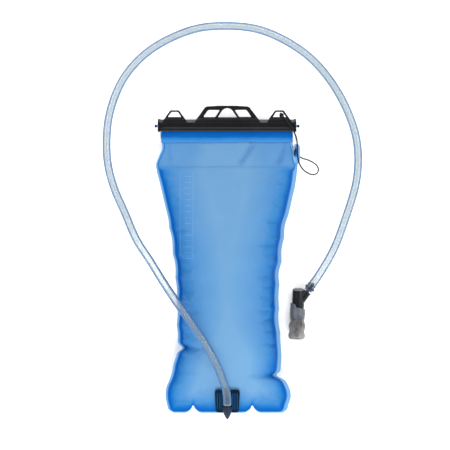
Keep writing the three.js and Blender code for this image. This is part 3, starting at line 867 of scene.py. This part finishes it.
def add_attribute(piece, name, values):
    """A value for each point, which the material reads."""
    attribute = piece.data.attributes.new(name, "FLOAT", "POINT")
    attribute.data.foreach_set("value", np.asarray(values, np.float32).ravel())


class Film:
    """The drawn shape of one film: its points, and where its weld, free skin and wrinkles lie."""

    def __init__(self, front):
        self.front = front
        self.x, self.y, u, self.side, self.foot = film_grid()
        x, y = self.x, self.y
        self.edge = np.minimum(self.side, self.foot - FOOT_FLANGE + SIDE_FLANGE)
        self.free = smoothstep(self.edge, SIDE_FLANGE - 0.5, SIDE_FLANGE + 7)
        self.wrinkles = creases(x, y) * smoothstep(self.edge, SIDE_FLANGE - 2.5, SIDE_FLANGE + 2)
        self.weld = np.exp(-(((y - PANEL_WELD_Y) / PANEL_WELD_HALF) ** 2)) * self.free
        beside, above = smoothstep(np.abs(x), *PORT_SPREAD_X), smoothstep(y, *PORT_SPREAD_Y)
        self.near_port = (1 - beside) * (1 - above)
        dome = fullness(y) * np.clip(1 - np.abs(u) ** DOME_SQUARE, 0, 1) ** DOME_ROUND
        z = self.front_height(dome) if front else self.back_height(dome)
        z[0, :] = z[:, 0] = z[:, -1] = SEAM_Z
        self.points = np.stack([x, y, z], axis=2)

    def swell(self, seed):
        """The unevenness of the free film, up to the neck."""
        swell = slow_swell(self.x, self.y, seed) * self.free
        return swell * (1 - smoothstep(self.y, SWELL_TOP, NECK_Y))

    def front_height(self, dome):
        """The front film rises over its seam, and lies flat round the port and under the mouth."""
        y, free = self.y, self.free
        z = SEAM_Z + SEAM_HALF + FRONT_RISE * dome - self.wrinkles * (0.35 + 0.65 * free)
        z += 0.6 * self.swell(4.2) - 0.5 * self.weld - 0.9 * hose_groove(self.x, y) * free
        z = z * (1 - self.near_port) + (port_plane(y) - 0.1) * self.near_port
        return np.where(y > LIP_Y, np.minimum(z, CAD_FLANGE_TOP - 0.1), z)

    def back_height(self, dome):
        """The back film sags below its seam until the ground flattens it."""
        z = SEAM_Z - SEAM_HALF - BACK_DROP * dome + 0.8 * self.wrinkles * self.free
        z += 0.6 * self.swell(9.1)
        return BACK_FLOOR + np.logaddexp(0, (z - BACK_FLOOR) / GROUND_SOFT) * GROUND_SOFT

    def colour_place(self):
        """Where each point lies in the film's colours: 0 on the outline, 1 in the middle."""
        y, side = self.y, self.side
        neck = SEAM_END + EDGE_REACH * (1 - smoothstep(y, FLAP_FOOT_Y + 3, FLAP_FOOT_Y + 9))
        place = np.maximum(side - WELD_SHIFT * np.sign(self.x), 0)
        place += LOW_GAIN * (1 - smoothstep(y, *LOW_END)) * np.maximum(place - SIDE_START, 0)
        place = np.minimum(place, as_side(self.foot))
        panel = smoothstep(y, PANEL_WELD_Y - 5, PANEL_WELD_Y + 5) * smoothstep(side, 2.5, 4.5)
        place += 0.8 * panel * np.maximum(0.7 * EDGE_REACH - place, 0)
        return np.clip(np.minimum(place, neck) / EDGE_REACH, 0, 1)

    def crease_shade_and_weld_tone(self):
        """How much deeper the colour is: painted shade in the wrinkles, and the front film's darker
        panel weld line.
        """
        tone = 0.20 * self.wrinkles * self.free + (0.35 * self.weld if self.front else 0)
        return np.clip(tone, 0, 1)

    def loose(self):
        """1 where the film may wrinkle, 0 on the weld, the neck, the port and under the hose."""
        share = smoothstep(self.edge, SIDE_FLANGE, SIDE_FLANGE + 2.5)
        share = share * (1 - smoothstep(self.y, PANEL_WELD_Y - 12, PANEL_WELD_Y - 2))
        share = share * (1 - 0.92 * smoothstep(self.edge, *WRINKLE_FADE))
        if self.front:
            share = share * (1 - self.near_port) * (1 - hose_groove(self.x, self.y))
        return share


def closed_skin(front, back):
    """Both films joined into one closed skin, on every SIM_STEP-th row and column."""
    own = front.points[::SIM_STEP, ::SIM_STEP]
    other = back.points[::SIM_STEP, ::SIM_STEP]
    rows, columns = own.shape[:2]
    index = np.arange(rows * columns).reshape(rows, columns)
    below = index + rows * columns
    below[0, :], below[:, 0], below[:, -1] = index[0, :], index[:, 0], index[:, -1]
    faces = grid_faces(rows, columns)
    flat = below.ravel()
    faces += [tuple(int(flat[i]) for i in f) for f in flipped(faces)]
    for c in range(columns - 1):
        if index[-1, c] != below[-1, c] or index[-1, c + 1] != below[-1, c + 1]:
            ring = [index[-1, c], index[-1, c + 1], below[-1, c + 1], below[-1, c]]
            faces.append(tuple(dict.fromkeys(int(i) for i in ring)))
    return np.concatenate([own.reshape(-1, 3), other.reshape(-1, 3)]), faces


def blow_up(points, faces, loose):
    """A short cloth simulation with air pressure inside and slack in the film. Returns points."""
    skin = add_mesh("skin", (points * MM).tolist(), faces)
    mesh = skin.data
    pins = skin.vertex_groups.new(name="pins")
    for i, share in enumerate(loose):
        pins.add([i], float(1 - share), "REPLACE")
    cloth = skin.modifiers.new("cloth", "CLOTH")
    for key, value in CLOTH.items():
        setattr(cloth.settings, key, value)
    cloth.settings.effector_weights.gravity = 0
    cloth.collision_settings.use_collision = False
    cloth.point_cache.frame_end = SIM_FRAMES
    scene = bpy.context.scene
    for step in range(1, SIM_FRAMES + 1):
        scene.frame_set(step)
    posed = skin.evaluated_get(bpy.context.evaluated_depsgraph_get())
    blown = np.array([tuple(v.co) for v in posed.data.vertices]) / MM
    bpy.data.objects.remove(skin)
    bpy.data.meshes.remove(mesh)
    scene.frame_set(1)
    return blown


def blurred(values, reach):
    """values averaged over reach grid steps each way, along the rows and the columns."""
    kernel = np.hanning(2 * reach + 3)[1:-1]
    kernel /= kernel.sum()
    wide = np.pad(values, ((reach, reach), (reach, reach), (0, 0)), "edge")
    for axis in (0, 1):
        wide = np.apply_along_axis(np.convolve, axis, wide, kernel, "valid")
    return wide


def refined(coarse, shape):
    """A coarse grid's values on the full grid."""
    values = coarse
    for axis in (0, 1):
        places = np.arange(shape[axis]) / SIM_STEP
        values = np.apply_along_axis(
            lambda v: np.interp(places, np.arange(len(v)), v), axis, values,
        )
    return values


def wrinkle_films(films):
    """Adds the fine part of the simulated wrinkles, so that the bag keeps its overall shape."""
    start, faces = closed_skin(*films)
    loose = np.concatenate([f.loose()[::SIM_STEP, ::SIM_STEP].ravel() for f in films])
    moved = (blow_up(start, faces, loose) - start).reshape(2, -1, 3)
    for film, move in zip(films, moved):
        grid = move.reshape(*film.x[::SIM_STEP, ::SIM_STEP].shape, 3)
        fine = refined(grid - blurred(grid, SIM_BLUR), film.x.shape)
        size = np.linalg.norm(fine, axis=2, keepdims=True)
        fine *= np.minimum(1, SIM_CAP / np.maximum(size, 1e-6)) * film.loose()[..., None]
        film.points += fine
        film.points[..., 2] = np.maximum(film.points[..., 2], BACK_FLOOR)


def add_film(name, node, film):
    """One film of the bag, with its welded edge, dome, puckers and creases."""
    faces = grid_faces(*film.x.shape)
    if not film.front:
        faces = flipped(faces)
    points = film.points.reshape(-1, 3).tolist()
    piece = make(name, points, faces, FILM, "reservoir", [node])
    add_attribute(piece, "edge", film.colour_place())
    # Painted shade in the wrinkles, and the darker panel weld line, for the material to read.
    add_attribute(piece, "crease_shade_and_weld", film.crease_shade_and_weld_tone())


FILMS = [Film(True), Film(False)]
wrinkle_films(FILMS)
add_film("bag_front", "front_film", FILMS[0])
add_film("bag_back", "back_film", FILMS[1])


# ---- folded mouth
def fold_profile():
    """Section of the folded mouth across the rod, as height along Y and Z."""
    inner, outer = 2.2, 3.3
    turn = [math.radians(a) for a in range(90, -91, -15)]
    inside = [(ROD_Y + inner * math.cos(a), RAIL_Z + inner * math.sin(a)) for a in turn]
    outside = [(ROD_Y + outer * math.cos(a), RAIL_Z + outer * math.sin(a)) for a in turn]
    flap = [(FLAP_FOOT_Y + 12.6 * i / 7, 21.45) for i in range(8)]
    flap_top = [(FLAP_FOOT_Y + 12.6 * i / 7, 21.75 + 0.75 * min(1, i / 4)) for i in range(8)]
    return [
        *flap, (169, 21.8), (170.8, RAIL_Z + inner), *inside, (170.8, RAIL_Z - inner),
        (169, 20.2), (165.8, 20.2), (165.8, 19.1), (168.8, 19.1), (170.4, RAIL_Z - outer),
        *reversed(outside), (170.4, RAIL_Z + outer), (168.8, 22.9), *reversed(flap_top),
    ]


def add_mouth_fold():
    """The film of the mouth, folded over the rod, with a slightly wavy free edge."""
    profile = fold_profile()
    stations = 160
    points = []
    for i in range(stations + 1):
        x = -FOLD_HALF + 2 * FOLD_HALF * i / stations
        for y, z in profile:
            loose = max(0.0, min(1.0, (165 - y) / 10))
            wave = noise.noise(Vector((x * 0.045, 0.3, 1.7)))
            ripple = noise.noise(Vector((x * 0.16, 5.1, 0.2)))
            points.append((x, y + loose * (0.9 * wave - 0.2), z + loose * (0.06 + 0.06 * ripple)))
    sides = flipped(grid_faces(stations + 1, len(profile), closed=True))
    faces = capped(sides, len(points), len(profile))
    make("mouth_flap", points, faces, FOLD, "reservoir", ["mouth_fold"])


add_mouth_fold()


# ---- carried CAD pieces
def dress(node, material, width=0.0, angle=30):
    """A CAD node that stays, with its finish and softly broken edges."""
    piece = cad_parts[node]
    piece.data.materials.clear()
    piece.data.materials.append(material)
    if width:
        bevel(piece, width, angle=angle)


def rib_plate_with_painted_highlight():
    """The ribbed plate: dark between its ribs, with a painted highlight along their tops."""
    n = Nodes("ribbed_plate_painted_highlight")
    _, y, z = n.axes()
    rise = n.maths("SUBTRACT", z, n.maths("MULTIPLY", y, math.tan(PORT_TILT)))
    foot, top = [(port_plane(0) + height) * MM for height in PORT_RIBS]
    base = n.shade(n.noise(70, 4, 0.6), "#01101f", "#031a30", 0.3, 0.75)
    # Painted highlight: the ribs' tops are painted paler, as light would catch them.
    colour = n.mix(n.span(rise, 0, 1, foot, top), base, tint("#10385c"))
    normal = n.bump(n.noise(420, 3), 0.05, 0.5)
    gloss = n.span(n.noise(130, 4, 0.65), 0.24, 0.42)
    return n.done(n.principled(colour, gloss, normal, Specular_IOR_Level=0.12))


dress("slider_rail", SLIDER[0], 0.45, angle=25)
dress("port_flange", rib_plate_with_painted_highlight(), 0.3)
dress("mouth_rod", FOLD[0])
dress("shutoff_spool", HOUSING[0])


# ---- slider details
def add_grip_root(name, left, right):
    """The root of a loop or of the grip, running down over the rail's rounded edge."""
    top_y = RAIL_TOP_Y + 0.6
    spread = ROOT_SLOPE * (top_y - ROOT_FOOT_Y)
    outline = [
        (left - spread, ROOT_FOOT_Y, RAIL_Z + 6.9), (right + spread, ROOT_FOOT_Y, RAIL_Z + 6.9),
        (right, top_y, RAIL_Z + 6.5), (left, top_y, RAIL_Z + 6.5),
    ]
    points = [(x, y, RAIL_Z + 2) for x, y, _ in outline] + outline
    sides = [(i, (i + 1) % 4, (i + 1) % 4 + 4, i + 4) for i in range(4)]
    faces = [(3, 2, 1, 0), (4, 5, 6, 7), *sides]
    bevel(make(name, points, faces, SLIDER, "slider"), 0.5, 4)


def add_rail_ridge():
    """The low rounded ridge along the rail's front, running out at both ends."""
    half = RAIL_HALF - 3
    radius, rise = 2.4, 0.3
    reach = math.acos(1 - rise / radius)
    arc = [reach * (i / 6 - 1) for i in range(13)]
    points = []
    stations = 80
    for row in range(stations + 1):
        x = -half + 2 * half * row / stations
        grow = float(smoothstep(half - abs(x), 0, 3))
        for a in arc:
            height = radius * (math.cos(a) - 1) + rise
            points.append((x, RIDGE_Y + radius * math.sin(a), RAIL_Z + 6.2 + grow * height))
        points += [(x, RIDGE_Y + away, RAIL_Z + 5.9) for away in (0.9, -0.9)]
    count = len(arc) + 2
    faces = capped(grid_faces(stations + 1, count, closed=True), len(points), count)
    make("rail_ridge", points, faces, SLIDER, "slider")


for root, left, right in (
    ("loop_root_left", -75.1, -50.3), ("grip_root", -36.3, 37.4), ("loop_root_right", 50.3, 75.1),
):
    add_grip_root(root, left, right)
add_rail_ridge()


# ---- tether tab
TAB_LOW, TAB_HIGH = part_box("tether_tab")
SLOT_CENTRE = (81.5, 144.7)
SLOT_REACH = (1.4, 4.7)


def oval(angle, centre, across, up, down, square):
    """A point of a rounded outline with a different height above and below its centre."""
    c, s = math.cos(angle), math.sin(angle)
    tall = up if s > 0 else down
    x = math.copysign(abs(c) ** (2 / square), c)
    y = math.copysign(abs(s) ** (2 / square), s)
    return Vector((centre[0] + across * x, centre[1] + tall * y))


def add_tab():
    """The tab that the tether is tied to: rounded, with a raised rim round its slot."""
    low, high = TAB_LOW / MM, TAB_HIGH / MM
    middle = 0.5 * (low.x + high.x)
    waist = high.y - 8
    section = [
        (0, low.z, 1), (0, high.z, 1), (0.14, high.z + 0.3, 1), (0.3, high.z, 0.8),
        (0.42, high.z, 0), (0.9, high.z, 0), (1, high.z - 0.4, 0.3), (1, low.z, 0.3),
    ]
    half_width = 0.5 * (high.x - low.x)
    sides = 72
    points, rims = [], []
    for k in range(sides):
        angle = 2 * math.pi * k / sides
        inside = oval(angle, SLOT_CENTRE, SLOT_REACH[0], SLOT_REACH[1], SLOT_REACH[1], 3)
        outside = oval(angle, (middle, waist), half_width, high.y - waist, waist - low.y, 2.6)
        for share, z, rim in section:
            points.append((*inside.lerp(outside, share), z))
            rims.append(rim)
    faces = grid_faces(sides, len(section), closed=True, ring=True)
    piece = make("loop_tab", points, faces, TAB, "reservoir", ["tether_tab"])
    add_attribute(piece, "rim", rims)


add_tab()


# ---- rod ends and knot
def add_rod_caps():
    """The rod's two ends: a blue neck with a dark rounded tip."""
    for name, sign in (("left", -1), ("right", 1)):
        matrix = frame_along((sign * 83.5, ROD_Y, RAIL_Z), (sign, 0, 0))
        turned(
            "rod_neck_" + name, [(0, 0), (1.75, 0), (1.75, 1.5), (0, 1.5)],
            matrix, FOLD, "reservoir", (), 32, 0.15,
        )
        turned(
            "rod_end_" + name,
            [(0, 1.5), (1.6, 1.5), (1.85, 1.8), (1.85, 3.0), (1.1, 3.45), (0, 3.45)],
            matrix, SLIDER, "reservoir", ["rod_cap_" + name], 32, 0.3,
        )


def add_knot():
    """The stopper knot under the slider's loop: three bights of cord drawn together."""
    low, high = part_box("tether_knot")
    centre = (Vector(low) + Vector(high)) / 2 / MM
    path = []
    steps, sides = 96, 12
    for i in range(steps + 1):
        a = 2 * math.pi * i / steps
        r = 1.35 + 0.75 * math.cos(3 * a)
        path.append(centre + Vector((r * math.cos(2 * a), r * math.sin(2 * a), math.sin(3 * a))))
    faces = grid_faces(len(path), sides, closed=True)
    make("stopper_knot", sweep(path, 0.85, sides), faces, CORD, "slider", ["tether_knot"])


add_rod_caps()
add_knot()


# ---- port
PORT_ALONG = (0, math.cos(PORT_TILT), math.sin(PORT_TILT))
PORT_UP = (0, -math.sin(PORT_TILT), math.cos(PORT_TILT))
PORT_FRAME = frame_along((PORT_X, PORT_Y, port_plane(PORT_Y)), PORT_ALONG, PORT_UP)
SPOUT_FRAME = PORT_FRAME @ Matrix.Translation((0, 0, SPOUT_HEIGHT))


def add_port():
    """The pointed spout with its barbed spigot in the hose, and the ring between them."""
    turned(
        "spout",
        [
            (0, -20.6), (0.9, -20.2), (2.6, -17.4), (4.4, -13.6), (5.3, -10), (5.3, -6.6),
            (4.6, -4.0), (2.4, -3.9), (2.4, -0.2), (2.62, 0), (2.2, 2.6), (2.62, 2.7),
            (2.0, 6.0), (1.7, 6.0), (1.7, 1.0), (0, 1.0),
        ],
        SPOUT_FRAME, SPOUT, "reservoir", ["port_spout"], 64, 0.5,
    )
    upright = Matrix.Rotation(math.pi / 2, 4, "X")
    foot = PORT_FRAME @ Matrix.Translation((0, -7.2, 0)) @ upright
    turned(
        "spout_foot", [(0, 3.6), (4.2, 3.6), (3.5, 4.6), (3.3, 8), (0, 8)],
        foot, SPOUT, "reservoir",
    )
    turned(
        "port_seal", ring_profile(3.75, 0.75), SPOUT_FRAME @ Matrix.Translation((0, -2.9, 0)),
        RUBBER, "reservoir", ["port_o_ring"],
    )


def ring_profile(major, minor):
    """A round section, closed on itself."""
    turn = [2 * math.pi * k / 16 for k in range(16)]
    section = [(major + minor * math.cos(a), minor * math.sin(a)) for a in turn]
    return [*section, section[0]]


add_port()


# ---- bite valve
INLET = frame_along(
    (*INLET_JOINT, VALVE_Z), (math.cos(INLET_ANGLE), math.sin(INLET_ANGLE), 0),
)
VALVE = frame_along(
    (*VALVE_CAP_END, VALVE_Z),
    (VALVE_MOUTH[0] - VALVE_CAP_END[0], VALVE_MOUTH[1] - VALVE_CAP_END[1], 0),
)


def add_hose_end():
    """Collar, barbed stem and its two seals, at the valve end of the hose."""
    turned(
        "collar",
        [
            (5.1, 22.8), (6.0, 22.8), (6.4, 23.6), (6.4, 24.8), (6.0, 25.6), (5.1, 25.6),
            (5.1, 22.8),
        ],
        INLET, COLLAR, "reservoir", ["hose_collar"],
    )
    turned(
        "collar_lip", [(5.1, 27.6), (5.5, 27.6), (5.6, 28.2), (5.5, 28.8), (5.1, 28.8), (5.1, 27.6)],
        INLET, COLLAR, "reservoir", (), 64, 0.2,
    )
    barbs = [(1.6, 10.8), (2.4, 10.8), (2.4, 20.4)]
    for start in (21.4, 24.6, 27.8):
        barbs += [(2.4, start - 0.3), (3.0, start), (2.2, start + 2.9)]
    turned(
        "stem", [*barbs, (1.9, 31.6), (1.6, 31.6), (1.6, 10.8)],
        INLET, COLLAR, "reservoir", ["valve_stem"], 48, 0.2,
    )
    for name, station in (("inner", 12.6), ("outer", 15.4)):
        turned(
            "seal_" + name, ring_profile(3.2, 0.5), INLET @ Matrix.Translation((0, station, 0)),
            RUBBER, "reservoir", ["stem_o_ring_" + name], 48,
        )


def add_elbow():
    """The elbow: a round housing with its inlet arm, and the paler cap on its end."""
    turned(
        "elbow_housing",
        [(0, 2.5), (7.2, 2.5), (7.3, 3.2), (7.3, 33.2), (5, 33.4), (5, 14), (0, 14)],
        VALVE, HOUSING, "valve_head", ["elbow_body"], 72, 0.5,
    )
    turned(
        "inlet_arm",
        [
            (0, 1), (5.0, 1), (5.0, 16.6), (5.5, 17.2), (5.5, 18.4), (5.1, 19.0), (3.9, 19.0),
            (3.9, 10.4), (0, 10.4),
        ],
        INLET, HOUSING, "valve_head", (), 64, 0.4,
    )
    turned(
        "end_cap",
        [(0, -1.1), (2.5, -1.0), (4.8, -0.5), (6.4, 0.3), (7.1, 1.1), (7.3, 1.8), (7.3, 2.3), (0, 2.3)],
        VALVE, CAP, "valve_head", ["elbow_cap"], 72, 0.4,
    )


def cuff_top(angle):
    """Station of the cuff's top edge: high on the side away from the arm, then stepped down."""
    away = math.degrees(abs(math.atan2(math.sin(angle), math.cos(angle))))
    clear_of_arm = 21.2 - CUFF_SLOPE * (8.2 * math.cos(angle) + 1)
    drop = 5.4 * float(smoothstep(away, 58, 77)) + 2.2 * float(smoothstep(away, 77, 180))
    return max(clear_of_arm, CUFF_TOP + drop)


def add_cuff():
    """The turning cuff: a sleeve cut away below the inlet arm, with a groove near its foot."""
    sides = 144
    lip = [(7.75, 0), (8.5, 0), (9.0, 0.5), (9.1, 1.4)]
    foot = [
        (9.1, 33.0), (8.7, 33.3), (8.65, 33.9), (8.7, 34.3), (9.1, 34.6), (9.1, 35.5),
        (8.9, 35.8), (7.7, 35.8),
    ]
    points = []
    for k in range(sides):
        angle = 2 * math.pi * k / sides
        radial = Vector((math.cos(angle), 0, math.sin(angle)))
        top = cuff_top(angle)
        column = [(r, top + y) for r, y in lip]
        for i in range(1, 9):
            station = top + 1.4 + (31.6 - top) * i / 8
            column.append((9.1 + 0.22 * math.sin((station - 22) * 0.55) ** 2, station))
        column += foot
        points += [VALVE @ (radial * r + Vector((0, y, 0))) for r, y in column]
    faces = grid_faces(sides, len(points) // sides, closed=True, ring=True)
    make("twist_cuff", points, faces, CUFF, "bite_valve", ["bite_cuff"])


def add_mouthpiece():
    """The soft mouthpiece: ringed bulb, flattened lip with a slit, hollow inside."""
    profile = [
        (4.5, 36.1), (8.5, 36.1), (8.5, 37), (8.3, 38.5), (8.9, 40.8), (9.8, 43.2), (10.1, 45.3),
        (9.9, 47), (9.3, 49.2), (9.0, 51.3), (9.2, 52.8), (9.8, 54.2), (10.25, 55.8), (10.2, 57.4),
        (9.7, 59.2), (8.5, 60.6), (6.5, 61.2), (3.5, 61.3), (0, 61.0),
    ]
    turned("mouthpiece", profile, VALVE, MOUTH, "bite_valve", ["bite_tip"], 96, 0.6)
    turned(
        "mouthpiece_core",
        [(0, 35.8), (6.4, 35.8), (6.3, 39), (5.6, 43), (4.4, 46.5), (2, 48.6), (0, 49)],
        VALVE, HOUSING, "bite_valve", (), 48, 0.8,
    )
    # A thin dark sheet across the lip's tip: painted shade standing in for the gap of the slit.
    slit = []
    for x in (-4.6, -2.3, 0, 2.3, 4.6):
        for z in (-0.22, 0.22):
            slit.append(VALVE @ Vector((x, 61.36 - 0.012 * x * x, z * (1 - 0.03 * x * x))))
    make("mouth_slit_painted_shade", slit, grid_faces(5, 2), RUBBER, "bite_valve")


add_hose_end()
add_elbow()
add_cuff()
add_mouthpiece()


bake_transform(TETHER_PIECE)


# ---- floor and light
def add_floor():
    """A plain white matt floor."""
    n = Nodes("floor")
    colour = n.mix(n.noise(3, 2), (0.93, 0.93, 0.93), (0.95, 0.95, 0.95))
    half = 4.0
    corners = [(-half, -half, 0), (half, -half, 0), (half, half, 0), (-half, half, 0)]
    floor = add_mesh("floor", corners, [(0, 1, 2, 3)])
    floor.data.materials.append(n.done(n.principled(colour, 0.9, Specular_IOR_Level=0.0)))


def add_light(name, place, target, size, power, in_gloss):
    """A square soft lamp that points at its target."""
    data = bpy.data.lights.new(name, "AREA")
    data.size = size
    data.energy = power
    light = bpy.data.objects.new(name, data)
    light.location = place
    light.rotation_euler = (Vector(target) - Vector(place)).to_track_quat("-Z", "Y").to_euler()
    light.visible_glossy = in_gloss
    bpy.context.collection.objects.link(light)


def add_world():
    """A white tent round the object: bright at its sides and dim overhead, so gloss shows form."""
    world = bpy.data.worlds.new("studio")
    world.use_nodes = True
    tree = world.node_tree
    background = tree.nodes["Background"]
    background.inputs["Color"].default_value = (1, 1, 1, 1)
    direction = tree.nodes.new("ShaderNodeTexCoord")
    axes = tree.nodes.new("ShaderNodeSeparateXYZ")
    fade = tree.nodes.new("ShaderNodeMapRange")
    fade.interpolation_type = "SMOOTHSTEP"
    for key, value in (("From Min", 0.35), ("From Max", 0.95), ("To Min", 1.15), ("To Max", 0.25)):
        fade.inputs[key].default_value = value
    tree.links.new(direction.outputs["Generated"], axes.inputs[0])
    tree.links.new(axes.outputs["Z"], fade.inputs["Value"])
    tree.links.new(fade.outputs[0], background.inputs["Strength"])
    bpy.context.scene.world = world


def add_lights():
    """Large soft lamps: three round the head end, and a fill at the foot that gloss doesn't show."""
    for name, place, power, in_gloss in (
        ("key", (-1.2, 0.9, 1.35), 25, True), ("right", (1.25, 0.3, 1.35), 17, True),
        ("head", (0.3, 1.45, 1.35), 14, True), ("foot", (0.1, -1.6, 1.1), 54, False),
    ):
        add_light(name, place, (0, 0.05, 0), 1.1, power, in_gloss)
    bpy.context.scene.view_settings.view_transform = "Standard"


add_floor()
add_world()
add_lights()
